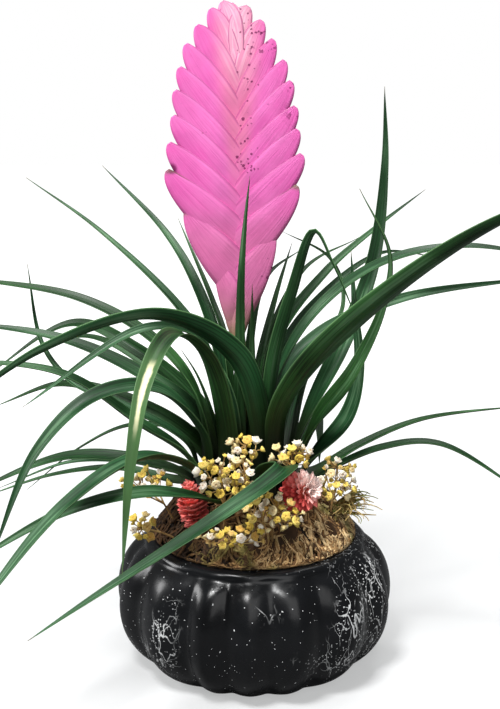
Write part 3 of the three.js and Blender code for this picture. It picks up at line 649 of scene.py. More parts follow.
class Growths:
    """Geometry node trees that grow blades, fibres, stalks and flower parts."""

    def __init__(self) -> None:
        """Builds the trees."""
        self.blade = self._blade()
        self.fibres = self._fibres()
        self.stalks = self._stalks()

    @staticmethod
    def _blade() -> Tree:
        """Closed channelled blade over a chain of stations that say where its middle line runs."""
        wiring = Shoots.new_group(
            "channelled_blade",
            [
                ("Stations", GEOMETRY), ("Columns", WHOLE, 20), ("Cupping", FLOAT, 1.5),
                ("Edge", FLOAT, 6.0), ("Merge", FLOAT, 0.00001), ("Finish", MATERIAL),
            ],
            [("Blade", GEOMETRY)],
        )
        given = wiring.given()
        count = wiring.put("GeometryNodeAttributeDomainSize", given["Stations"], component="MESH")
        columns = wiring.plus(given["Columns"], 1.0)
        grid = wiring.node("GeometryNodeMeshGrid", 1.0, 1.0, columns, count).outputs
        position = wiring.put("GeometryNodeInputPosition")
        at = wiring.axes(position)
        around = wiring.plus(at["X"], 0.5)
        along = wiring.plus(at["Y"], 0.5)
        station = wiring.math("ROUND", wiring.times(along, wiring.less(count, 1.0)))

        def sampled(value: Socket, kind: str) -> Socket:
            """Reads a station's value for each point of the grid."""
            return wiring.put("GeometryNodeSampleIndex", given["Stations"], value, station, data_type=kind)

        half, lift, thick, share = (
            sampled(wiring.told(name), "FLOAT") for name in ("half", "lift", "thick", "share")
        )
        side, face = (
            sampled(wiring.told(name, "FLOAT_VECTOR"), "FLOAT_VECTOR") for name in ("side", "face")
        )
        turn = wiring.size(wiring.less(wiring.times(around, 4.0), 2.0))
        across = wiring.math("SINE", wiring.times(wiring.less(1.0, turn), math.pi / 2))
        spread = wiring.size(across)
        sign = wiring.less(wiring.times(wiring.math("LESS_THAN", around, 0.5), 2.0), 1.0)
        room = wiring.less(1.0, wiring.math("POWER", spread, given["Edge"]))
        skin = wiring.times(wiring.math("SQRT", room), thick, 0.5)
        cup = wiring.times(wiring.math("POWER", spread, given["Cupping"]), lift)
        middle = wiring.less(cup, wiring.times(thick, 0.5))
        height = wiring.plus(middle, wiring.times(skin, sign))
        place = sampled(position, "FLOAT_VECTOR")
        for way, by in ((side, wiring.times(across, half)), (face, height)):
            place = wiring.vector("ADD", place, wiring.scaled(way, by))
        mesh = wiring.keep(grid["Mesh"], "across", across)
        mesh = wiring.keep(mesh, "along", share)
        mesh = wiring.keep(mesh, "UVMap", grid["UV Map"], "FLOAT2", "CORNER")
        mesh = wiring.put("GeometryNodeSetPosition", mesh, None, place)
        mesh = wiring.put("GeometryNodeMergeByDistance", mesh, None, given["Merge"])
        for kind in ("FlipFaces", "SetShadeSmooth", "RealizeInstances"):
            mesh = wiring.put(f"GeometryNode{kind}", mesh)
        mesh = wiring.put("GeometryNodeSetMaterial", mesh, None, given["Finish"])
        return wiring.done(mesh)

    @staticmethod
    def _fibres() -> Tree:
        """Curly fibres that lie over a surface, on top of the surface itself.

        They end inside the rim, stay above the seat and rise no higher than the crest,
        which slopes down past the brow.
        """
        wiring = Shoots.new_group(
            "curly_fibres",
            [
                ("Surface", GEOMETRY), ("Density", FLOAT, 1000.0), ("Steps", WHOLE, 8),
                ("Length", FLOAT, 0.012), ("Curl", FLOAT, 200.0), ("Lift", FLOAT, 0.002),
                ("Sunk", FLOAT, 0.001), ("Thickness", FLOAT, 0.0004), ("Tangle", FLOAT, 0.003),
                ("Tangle scale", FLOAT, 190.0), ("Rim", FLOAT, 1.0), ("Rim band", FLOAT, 0.004),
                ("Seat", FLOAT, 0.0), ("Seat depth", FLOAT, 0.006), ("Brow", FLOAT, 1.0),
                ("Crest", FLOAT, 1.0), ("Slope", FLOAT, 1.0), ("Seed", WHOLE, 1), ("Finish", MATERIAL),
            ],
            [("Fibres", GEOMETRY)],
        )
        given = wiring.given()
        density = wiring.times(given["Density"], wiring.told("hairy"))
        scatter = wiring.node(
            "GeometryNodeDistributePointsOnFaces", at={0: given["Surface"], 4: density, 6: given["Seed"]},
            distribute_method="RANDOM",
        ).outputs

        def drawn(low: object, high: object, step: int, kind: str = "FLOAT") -> Socket:
            """Draws a number or a vector for each fibre."""
            first, out = {"FLOAT_VECTOR": (0, 0), "FLOAT": (2, 1)}[kind]
            at = {first: low, first + 1: high, 8: wiring.plus(given["Seed"], float(step))}
            return wiring.put("FunctionNodeRandomValue", at=at, out=out, data_type=kind)

        normal = scatter["Normal"]
        wild = drawn((-1.0, -1.0, -1.0), (1.0, 1.0, 1.0), 1, "FLOAT_VECTOR")
        way = wiring.vector("NORMALIZE", wiring.vector("CROSS_PRODUCT", normal, wild))
        vectors = {
            "root": wiring.put("GeometryNodeInputPosition"), "up": normal, "way": way,
            "bend": wiring.vector("CROSS_PRODUCT", normal, way),
        }
        # Each fibre's tone is drawn and scaled by the stored light share, which holds painted light and
        # shade.
        numbers = {
            "reach": wiring.times(drawn(0.45, 1.0, 2), given["Length"]),
            "curl": wiring.times(drawn(-1.0, 1.0, 3), given["Curl"]),
            "rise": wiring.times(drawn(0.1, 1.0, 4), given["Lift"]),
            "tone": wiring.times(drawn(0.0, 1.0, 5), wiring.told("light")),
        }
        points = scatter["Points"]
        for values, kind in ((vectors, "FLOAT_VECTOR"), (numbers, "FLOAT")):
            for name, value in values.items():
                points = wiring.keep(points, name, value, kind)
        points = wiring.keep(points, "strand", wiring.put("GeometryNodeInputIndex"), "INT")
        copies = wiring.node("GeometryNodeDuplicateElements", points, None, given["Steps"], domain="POINT")
        share = wiring.over(copies.outputs["Duplicate Index"], wiring.less(given["Steps"], 1.0))
        points = wiring.keep(copies.outputs["Geometry"], "step", share)
        step = wiring.told("step")
        curves = wiring.put("GeometryNodePointsToCurves", points, wiring.told("strand", "INT"), step)
        curl = wiring.plus(wiring.told("curl"), 0.5)
        angle = wiring.times(step, wiring.told("reach"), curl)
        ahead = wiring.over(wiring.math("SINE", angle), curl)
        aside = wiring.over(wiring.less(1.0, wiring.math("COSINE", angle)), curl)
        arch = wiring.math("SINE", wiring.times(step, math.pi))
        height = wiring.less(wiring.times(arch, wiring.told("rise")), given["Sunk"])
        place = wiring.told("root", "FLOAT_VECTOR")
        for name, by in (("way", ahead), ("bend", aside), ("up", height)):
            place = wiring.vector("ADD", place, wiring.scaled(wiring.told(name, "FLOAT_VECTOR"), by))
        place = wiring.wander(place, given["Tangle scale"], 1.0, given["Tangle"])
        flat = wiring.vector("MULTIPLY", place, LEVEL)
        out_by = wiring.larger(wiring.length(flat), 1e-4)
        kept = wiring.scaled(flat, wiring.smaller(1.0, wiring.over(given["Rim"], out_by)))
        over = wiring.rise(wiring.less(given["Rim"], out_by), 0.0, given["Rim band"], 1.0, 0.0)
        lowest = wiring.less(given["Seat"], wiring.times(wiring.less(1.0, over), given["Seat depth"]))
        past = wiring.larger(wiring.less(out_by, given["Brow"]), 0.0)
        highest = wiring.less(given["Crest"], wiring.times(past, given["Slope"]))
        height = wiring.larger(wiring.smaller(wiring.axes(place)["Z"], highest), lowest)
        up = wiring.put("ShaderNodeCombineXYZ", 0.0, 0.0, height)
        curves = wiring.put("GeometryNodeSetPosition", curves, None, wiring.vector("ADD", kept, up))
        thin = wiring.less(1.15, wiring.times(step, 0.75))
        outline = wiring.circle(3, given["Thickness"])
        mesh = wiring.put("GeometryNodeCurveToMesh", curves, outline, thin, True)
        mesh = wiring.put("GeometryNodeSetShadeSmooth", mesh)
        mesh = wiring.joined(given["Surface"], mesh)
        mesh = wiring.put("GeometryNodeSetMaterial", mesh, None, given["Finish"])
        return wiring.done(mesh)

    @staticmethod
    def _stalks() -> Tree:
        """Round stalks along loose edges, and a flower part on each point that asks for one."""
        wiring = Shoots.new_group(
            "stalks_and_flower_parts",
            [
                ("Skeleton", GEOMETRY), ("Part", "NodeSocketObject"), ("Sides", WHOLE, 5),
                ("Stalk finish", MATERIAL), ("Part finish", MATERIAL),
            ],
            [("Plant", GEOMETRY)],
        )
        given = wiring.given()
        chosen = wiring.told("part")
        parts = wiring.node("GeometryNodeSeparateGeometry", given["Skeleton"], chosen, domain="POINT").outputs
        at = {
            "Points": wiring.put("GeometryNodeMeshToPoints", parts["Selection"]),
            "Instance": wiring.put("GeometryNodeObjectInfo", given["Part"], out="Geometry"),
            "Rotation": wiring.told("turn", "FLOAT_VECTOR"),
            "Scale": wiring.told("size", "FLOAT_VECTOR"),
        }
        placed = wiring.put("GeometryNodeInstanceOnPoints", at=at)
        curves = wiring.put("GeometryNodeMeshToCurve", parts["Inverted"])
        outline = wiring.circle(given["Sides"], 1.0)
        tubes = wiring.put("GeometryNodeCurveToMesh", curves, outline, wiring.told("thick"), True)
        mesh = wiring.joined(wiring.put("GeometryNodeSetShadeSmooth", tubes), placed)
        mesh = wiring.put("GeometryNodeSetMaterial", mesh, None, given["Stalk finish"])
        mesh = wiring.put("GeometryNodeSetMaterial", mesh, chosen, given["Part finish"])
        return wiring.done(mesh)

    @staticmethod
    def grow(name: str, start: Mesh, tree: Tree, **values: object) -> Mesh:
        """Runs a tree over a mesh and gives the plain mesh it makes.

        Args:
            name: the new mesh's name.
            start: the mesh the tree starts from.
            tree: the tree.
            values: what its named inputs get, with underscores for spaces.

        Returns:
            The new mesh.
        """
        carrier = bpy.data.objects.new(name + "_start", start)
        modifier = carrier.modifiers.new("growth", "NODES")
        modifier.node_group = tree
        sockets = {item.name: item.identifier for item in tree.interface.items_tree if item.in_out == "INPUT"}
        for key, value in values.items():
            modifier[sockets[key.replace("_", " ")]] = value
        bpy.context.scene.collection.objects.link(carrier)
        graph = bpy.context.evaluated_depsgraph_get()
        seen = carrier.evaluated_get(graph)
        mesh = bpy.data.meshes.new_from_object(seen, preserve_all_data_layers=True, depsgraph=graph)
        mesh.name = name
        bpy.data.objects.remove(carrier)
        bpy.data.meshes.remove(start)
        slot = np.zeros(len(mesh.polygons), np.int32)
        mesh.polygons.foreach_get("material_index", slot)
        used, slot = np.unique(slot, return_inverse=True)
        finishes = [mesh.materials[int(index)] for index in used]
        mesh.materials.clear()
        for finish in finishes:
            mesh.materials.append(finish)
        mesh.polygons.foreach_set("material_index", slot.astype(np.int32).ravel())
        return mesh


# Leaves

STEM_CROWN = (5.0, 88.4)
STEM_SHOULDER = (24.0, 76.6)
CROWN_MIDDLE = np.array([-2.0, 0.0, 0.0])
FIRST_RING = 6.5
RING_PITCH = 2.5
SKY = np.array([0.0, 0.0, 1.0])


def seat_height(radius: float) -> float:
    """Height of the stem's sloping top at a radius."""
    share = (radius - STEM_CROWN[0]) / (STEM_SHOULDER[0] - STEM_CROWN[0])
    return lerp(STEM_CROWN[1], STEM_SHOULDER[1], share)


@dataclass
class Leaf:
    """One blade: the ring and direction of its foot, its width and the course of its middle line.

    The blade is turned about its middle line by so many degrees over a share of its
    length, and its outer end once more.
    """

    ring: int
    foot: float
    width: float
    course: tuple[Point, ...]
    scar: float = 0.0
    thickness: float = 0.9
    tip_thickness: float = 0.25
    tip_width: float = 0.16
    tip_length: float = 0.3
    turned: float = 0.0
    turning: Pair = (0.05, 0.45)
    end_turned: float = 0.0
    end_turning: Pair = (0.45, 0.8)
    channel: float = 0.24
    sheath: float = 12.0
    sheath_share: float = 0.45
    lean: Pair = (0.05, 0.09)
    foot_width: Pair = (8.4, 0.55)
    foot_share: float = 1.25
    foot_gap: float = 0.3
    taper: Pair = (1.5, 0.85)
    full_width_from: float = 0.3
    face_pull: float = 3.0
    stations: int = 80

    @property
    def radius(self) -> float:
        """Radius of the ring its foot stands on."""
        return FIRST_RING + RING_PITCH * self.ring

    def widths(self, share: Array) -> Array:
        """Width at shares of the length: the foot fits its ring, the tip is fine."""
        inmost, growth = self.foot_width
        bend, power = self.taper
        foot = min(inmost + growth * self.ring, self.width * self.foot_share)
        grown = smoothstep(share, 0, self.full_width_from)
        width = (foot + (self.width - foot) * grown) * np.maximum(1 - share**bend, 0) ** power
        return np.maximum(self.tip_width, width)

    def lifts(self, share: Array, width: Array) -> Array:
        """How far the edges stand up from the middle: the foot hugs its ring."""
        hugging = (width / 2) ** 2 / (2 * self.radius)
        return hugging + (width * self.channel - hugging) * smoothstep(share, 0, self.full_width_from)

    def line(self) -> dict[str, Array]:
        """Follows the middle line.

        Returns:
            Share, point, direction, face direction and side direction of each station.
        """
        angle = math.radians(self.foot)
        out = np.array([math.cos(angle), math.sin(angle), 0.0])
        foot = CROWN_MIDDLE + SKY * (seat_height(self.radius) + self.foot_gap) + out * self.radius
        inmost, growth = self.lean
        lean = unit(SKY + out * (inmost + growth * self.ring))
        first = np.array(self.course[0], float)
        neck = foot + lean * min(self.sheath, float(np.linalg.norm(foot - first)) * self.sheath_share)
        share = np.linspace(0, 1, self.stations + 1)
        point, along = SmoothCurve([foot, neck, *self.course]).walk(share)
        face = -out
        faces = []
        for direction in along:
            face = unit(face - direction * np.dot(face, direction))
            face = face + (SKY - direction * direction[2]) * self.face_pull / self.stations
            face = unit(face - direction * np.dot(face, direction))
            faces.append(face)
        faces = np.array(faces)
        whole = self.turned * smoothstep(share, *self.turning)
        turn = np.radians(whole + self.end_turned * smoothstep(share, *self.end_turning))[:, None]
        faces = faces * np.cos(turn) + np.cross(along, faces) * np.sin(turn)
        side = np.cross(along, faces)
        return {"share": share, "point": point, "along": along, "face": faces, "side": side}

    def mesh(self, name: str, growths: Growths, finish: Material, tone: float) -> Mesh:
        """Grows the blade.

        Args:
            name: the mesh's name.
            growths: the node trees.
            finish: the leaf's material.
            tone: how bluish the leaf is, 0 to 1.

        Returns:
            The mesh.
        """
        line = self.line()
        width = self.widths(line["share"])
        values = {
            "half": width / 2 * MM,
            "lift": self.lifts(line["share"], width) * MM,
            "thick": lerp(self.thickness, self.tip_thickness, line["share"] ** 3) * MM,
            "share": line["share"],
            "side": line["side"],
            "face": line["face"],
        }
        point = line["point"]
        ends = {key: np.concatenate([value[:1], value, value[-1:]]) for key, value in values.items()}
        for key in ("half", "lift", "thick"):
            ends[key][0] = ends[key][-1] = 0.0
        tip = point[-1:] + line["along"][-1:] * self.tip_length
        point = np.concatenate([point[:1], point, tip])
        edges = [(i, i + 1) for i in range(len(point) - 1)]
        start = make_mesh(name, point, edges=edges, values=ends)
        mesh = growths.grow(name, start, growths.blade, Finish=finish)
        for key, value in (("tone", tone), ("scar", self.scar)):
            stored = mesh.attributes.new(key, "FLOAT", "POINT").data
            stored.foreach_set("value", [value] * len(mesh.vertices))
        return mesh


LEAVES = (
    Leaf(1, 240, 7.5, ((-7, -12, 154), (-6, -19, 192), (-4, -22, 217), (-2, -24, 235))),
    Leaf(
        0, 352, 10, ((11, 0, 138), (28, -10, 172), (56, -19, 196), (90, -27, 205), (135, -36, 200)),
        turned=30,
    ),
    Leaf(0, 82, 6, ((2, 11, 140), (10, 26, 171), (19, 48, 196))),
    Leaf(0, 168, 6, ((-14, 13, 154), (-20.5, 28.5, 170.6), (-38, 55, 207)), turned=-24),
    Leaf(0, 270, 5.5, ((-1, -7, 135), (-1, -7.5, 156), (-1, -9, 185))),
    Leaf(
        1, 316, 9, ((9, -11, 149), (17, -20, 184), (26, -31, 212), (34, -36, 198), (45, -40, 173)),
        turned=-30,
    ),
    Leaf(1, 25, 8.5, ((10, 17, 150), (35, 38, 182), (62, 59, 202), (89, 80, 219)), turned=20),
    Leaf(1, 95, 6, ((-2, 20, 152), (6, 42, 179), (25, 68, 190))),
    Leaf(1, 155, 9, ((-18, 15, 150), (-29, 30, 179), (-44, 47, 201), (-77, 70, 232)), turned=-20),
    Leaf(
        2, 289, 12.5, ((3, -14, 121), (-7, -22, 154), (-41, -43, 177), (-87, -73, 169), (-130, -101, 141)),
        end_turned=40,
    ),
    Leaf(2, 12, 9, ((15, 8, 138), (31, 15, 156), (71, 28, 171), (150, 54, 178)), turned=45),
    Leaf(2, 80, 5, ((6, 24, 148), (24, 44, 182), (55, 80, 194))),
    Leaf(2, 135, 8, ((-25, 14, 152), (-38, 22, 170), (-77, 48, 202), (-116, 70, 226))),
    Leaf(
        2, 240, 9, ((-11, -13, 130), (-17, -9, 147), (-29, -12, 163), (-51, -24, 167), (-101, -44, 137)),
        turned=-50,
    ),
    Leaf(2, 196, 6, ((-17, -6, 112), (-26, -13, 143), (-33, -16, 156))),
    Leaf(
        3, 313, 15, ((11, -19, 124), (22, -35, 150), (50, -74, 190), (86, -120, 227), (118, -160, 247)),
        turned=-35,
    ),
    Leaf(3, 357, 11.5, ((26, 1, 120), (41, 7, 151), (56, 15, 190), (61, 19, 236), (60, 20, 272)), turned=60),
    Leaf(3, 62, 7, ((14, 24, 146), (34, 42, 170), (65, 64, 188), (97, 86, 183)), turned=15),
    Leaf(3, 136, 9, ((-28, 18, 122), (-58, 24, 147), (-90, 42, 156), (-142, 68, 122)), turned=-40),
    Leaf(3, 197, 10.5, ((-29, -4.5, 135), (-46, 2, 155), (-82, 12, 174), (-150, 27, 183)), turned=-38),
    Leaf(4, 244, 13, (
        (-14, -20, 124), (-22, -36, 158), (-34, -61, 173), (-43, -90, 161), (-48, -105, 132),
        (-52, -110, 88),
    ), turned=-12, scar=1.0),
    Leaf(
        4, 338, 12.5, ((29, -12, 120), (44, -32, 149), (55, -47, 182), (56, -54, 206), (43, -50, 232)),
        turned=60,
    ),
    Leaf(4, 26, 5, ((25, 20, 132), (44, 34, 168), (38, 48, 188), (14, 52, 201))),
    Leaf(4, 120, 6, ((-30, 26, 116), (-54, 36, 136), (-86, 57, 146), (-132, 86, 125)), turned=-25),
    Leaf(4, 167.5, 11, ((-28, 3, 120), (-54, 6, 139), (-92, 11, 155), (-150, 17, 163)), turned=-28),
    Leaf(
        4, 206, 13, ((-25, -12, 116), (-44, -23, 139), (-70, -38, 140), (-94, -51, 119), (-114, -63, 74)),
        turned=-22,
    ),
    Leaf(5, 325, 12, ((26, -7, 99), (44, -8, 122), (49, -10, 146), (46, -8, 176), (44, -3, 199)), turned=60),
    Leaf(5, 25, 7, ((30, 11, 89), (52, 20, 99), (84, 37, 107), (145, 68, 106))),
    Leaf(4, 76, 10, ((3, 26, 122), (6, 42, 140), (9, 74, 147), (16, 118, 122))),
    Leaf(5, 56, 11, ((15, 27, 104), (21, 46, 122), (24, 76, 120), (26, 112, 92))),
    Leaf(5, 103, 5, ((-26, 30, 102), (-62, 42, 103), (-91, 55, 87), (-123, 70, 58))),
    Leaf(5, 138, 12, ((-31, 13, 105), (-55, 18, 119), (-93, 28, 128), (-132, 42, 113)), turned=-15),
    Leaf(
        5, 173, 6.5, ((-32, 0, 107), (-65, 5, 125), (-88, 14, 133), (-103, 22, 150), (-110, 30, 188)),
        turned=-20,
    ),
    Leaf(5, 205, 12, ((-32, -10, 104), (-53, -14, 120), (-86, -23, 146), (-135, -36, 157)), turned=-20),
    Leaf(
        6, 284, 12,
        ((5, -28, 101), (14, -44, 109), (4, -55, 104), (-31, -84, 90), (-61, -108, 79), (-86, -130, 70)),
    ),
    Leaf(6, 350, 7.5, ((33, -2, 92), (60, -6, 106), (86, -12, 110), (128, -24, 88)), turned=15),
    Leaf(6, 82, 12, ((2, 32, 98), (0, 58, 108), (-6, 92, 93), (-12, 124, 58))),
    Leaf(6, 44, 9, ((19, 27, 92), (31, 52, 101), (36, 84, 88), (38, 112, 58))),
    Leaf(6, 118, 5, ((-35, 20, 86), (-60, 28, 88), (-95, 42, 83), (-135, 56, 64)), turned=-15),
    Leaf(6, 151, 5.5, ((-37, 9, 85), (-66, 15, 89), (-100, 26, 82), (-140, 36, 66)), turned=-15),
    Leaf(6, 184, 10.5, ((-31, -2, 90), (-52, -1, 97), (-90, 5, 98), (-145, 12, 75)), turned=-25),
    Leaf(
        6, 253, 9, ((-15, -33, 89), (-28, -44, 96), (-50, -54, 101), (-82, -71, 98), (-122, -96, 82)),
        turned=-42,
    ),
    Leaf(6, 222, 14, ((-27, -22, 100), (-47, -38, 112), (-78, -82, 105), (-118, -134, 65)), turned=8),
)


@dataclass
class Rosette:
    """All the leaves, each in its own piece."""

    leaves: tuple[Leaf, ...] = LEAVES
    seed: int = 40

    def build(self, growths: Growths, finish: Material) -> None:
        """Grows every leaf and puts it in place.

        Args:
            growths: the node trees.
            finish: the leaves' material.
        """
        draws = Draws(self.seed)
        for number, leaf in enumerate(self.leaves, 1):
            name = f"leaf_{number:02d}"
            mesh = leaf.mesh(f"{name}_blade", growths, finish, draws())
            finish_piece(f"{name}_blade", mesh, (), (name,))


# Flower spike


class Row(Enum):
    """The two rows of bracts, by the side they stand on."""

    LEFT = -1
    RIGHT = 1


@dataclass
class FlowerSpike:
    """Flat paddle of boat-shaped bracts in two rows on a short stalk.

    A bract changes smoothly with how far it reaches from the axis and how high its tip
    lies: upright near the axis, high and thin towards the top, domed at the very top.
    """

    axis_x: float = -7.5
    stalk_foot: Point = (-2, 0, 89.2)
    stalk_bend: float = 1.0
    stalk_shares: tuple[float, ...] = (0, 0.3, 0.38, 0.46, 1)
    stalk_radii: tuple[float, ...] = (2.6, 2.9, 3.2, 0.8, 0.5)
    stalk_stations: int = 70
    stalk_sides: int = 14
    scale_leaves: int = 9
    scale_size: Pair = (0.9, 0.16)
    paddle_foot: float = 160.0
    rachis_top: float = 286.0
    bract_length: float = 46.0
    half_thickness: float = 3.3
    lip_end: float = 0.6
    lip_start: float = 1.0
    keel: float = 0.5
    top_thickness: float = 0.72
    tucked_back: float = 0.3
    margin_past: float = 0.35
    tucked_reach: Pair = (0, 5)
    upright_reach: Pair = (2, 16)
    high_heights: Pair = (205, 240)
    low_heights: Pair = (222, 262)
    thin_heights: Pair = (240, 309)
    domed_heights: Pair = (287, 303)
    tips: dict[Row, tuple[Pair, ...]] = field(
        default_factory=lambda: {
            Row.LEFT: ((-13, 170), (-18, 193), (-32, 218), (-40, 236), (-39, 248), (-37, 260),
                       (-36, 271), (-34, 281), (-31, 291), (-26, 299), (-20, 306), (-15, 309)),
            Row.RIGHT: ((0, 183), (10, 207), (20, 229), (22, 243), (20, 254), (19, 264),
                        (17, 275), (14, 284), (9, 293), (4, 301), (-2, 307), (-8, 308)),
        }
    )
    drop_heights: tuple[float, ...] = (171, 193, 218, 240, 262, 285, 309)
    drops: tuple[float, ...] = (5, 10, 17, 22, 25, 26, 24)
    rings: int = 26
    columns: int = 9
    seed: int = 11

    def bract(self, tip: Pair, row: Row) -> tuple[Array, dict[str, Array]]:
        """Rings of one bract, from its root to its rounded tip.

        Args:
            tip: x and z of its tip.
            row: the row it stands in.

        Returns:
            The rings and the values stored on their points.
        """
        tip_x, tip_z = tip
        reach = row.value * (tip_x - self.axis_x)
        drop = float(np.interp(tip_z, self.drop_heights, self.drops))
        upright = 1 - float(smoothstep(reach, *self.upright_reach))
        high = float(smoothstep(tip_z, *self.high_heights))
        room = drop + reach * 0.7 + lerp(22, 9, high)
        length = min(self.bract_length, tip_z - self.paddle_foot + 4, room)
        outer = (
            (lerp(1.6, -1.5, high), length),
            (max(reach * lerp(0.7, 0.9, high), 4.5), length * lerp(0.66, 0.43, high)),
            (reach + lerp(1.2, 3.0, high), length * lerp(0.24, 0.12, high)),
            (reach + 0.1, 0.9),
        )
        tucked = self.tucked_back * (1 - float(smoothstep(reach, *self.tucked_reach)))
        domed = float(smoothstep(tip_z, *self.domed_heights))
        low = 1 - float(smoothstep(tip_z, *self.low_heights))
        straight = max(upright, domed)
        shoulder = lerp(lerp(0.54, 0.62, low), 0.5, straight)
        neck = lerp(lerp(0.14, 0.27, low), 0.05, straight)
        inner = (
            (-2.6, drop * 0.92 + 4.5),
            (reach * 0.24 - 3.5 * upright - 2.5 * domed, drop * shoulder),
            (lerp(reach * 0.64, reach - 9.5, upright) - 3.5 * domed, drop * neck),
            (reach - 1.2, 0.0),
        )
        a = np.linspace(0, 1, self.rings) ** 0.9
        keel_line, margin_line = (self._bezier(corners, a) for corners in (outer, inner))
        thin = lerp(1, self.top_thickness, float(smoothstep(tip_z, *self.thin_heights)))
        thick = self.half_thickness * thin
        lip = thick + (self.lip_end - thick) * a**0.8
        lip = self.lip_start + (lip - self.lip_start) * smoothstep(a, 0.0, 0.3)
        inwards = np.linspace(0, 1, self.columns) ** 0.85
        c = np.concatenate([inwards, [1.0]])
        bulge = np.concatenate([np.sin(inwards * math.pi / 2) ** 0.8, [0.72]])
        past = np.concatenate([np.zeros(self.columns), [self.margin_past]])
        across = np.concatenate([c, c[::-1]])
        rings = []
        for k in range(self.rings):
            flat = keel_line[k] + (margin_line[k] - keel_line[k]) * c[:, None]
            flat = flat + unit(margin_line[k] - keel_line[k]) * past[:, None]
            deep = (self.keel + (lip[k] - self.keel) * bulge) * (1 - tucked)
            front = np.column_stack([self.axis_x + row.value * flat[:, 0], -deep, tip_z - flat[:, 1]])
            back = front[::-1] * np.array([1, -1, 1])
            rings.append(np.vstack([front, back]))
        along = np.repeat(a[:, None], len(across), axis=1)
        across = np.repeat(across[None, :], self.rings, axis=0)
        return np.array(rings), {"along": along, "across": across}

    @staticmethod
    def _bezier(corners: Sequence[Pair], t: Array) -> Array:
        """Points of a cubic Bezier curve at shares t."""
        p = np.array(corners, float)
        t = t[:, None]
        return p[0] * (1 - t) ** 3 + 3 * p[1] * (1 - t) ** 2 * t + 3 * p[2] * (1 - t) * t**2 + p[3] * t**3

    def stalk(self) -> tuple[Array, dict[str, Array]]:
        """Rings of the stalk and the rachis, with swellings where scale leaves wrap it."""
        foot, top = self.stalk_foot, self.paddle_foot
        middle = (lerp(foot[0], self.axis_x, 0.5) + self.stalk_bend, 0, lerp(foot[2], top, 0.5))
        course = (foot, middle, (self.axis_x, 0, top), (self.axis_x, 0, self.rachis_top))
        share = np.linspace(0, 1, self.stalk_stations)
        point, _ = SmoothCurve(course).walk(share)
        turn = np.linspace(0, 2 * math.pi, self.stalk_sides, endpoint=False)
        bare, swollen = self.scale_size
        wrap = bare + swollen * (1 - (share * self.scale_leaves) % 1)
        radius = np.interp(share, self.stalk_shares, self.stalk_radii) * wrap
        ring = np.column_stack([np.cos(turn), np.sin(turn), np.zeros(len(turn))])
        rings = point[:, None, :] + ring[None, :, :] * radius[:, None, None]
        size = (len(share), len(turn))
        return rings, {"along": np.broadcast_to(share[:, None], size).copy(), "across": np.zeros(size)}

    def build(self, finish: Material) -> None:
        """Makes the spike and puts it in place.

        Args:
            finish: the bracts' material.
        """
        draws = Draws(self.seed)
        shapes = [self.stalk()]
        shapes[0][1]["tone"] = np.full(shapes[0][0].shape[:2], 0.5)
        for row, tips in self.tips.items():
            for tip in tips:
                rings, values = self.bract(tip, row)
                values["tone"] = np.full(rings.shape[:2], draws())
                shapes.append((rings, values))
        points, faces, values = joined_rings(shapes)
        mesh = make_mesh("flower_spike_bracts", points, faces, values=values)
        finish_piece("flower_spike_bracts", mesh, (finish,), ("flower_spike",))


# Pot and what lies in it


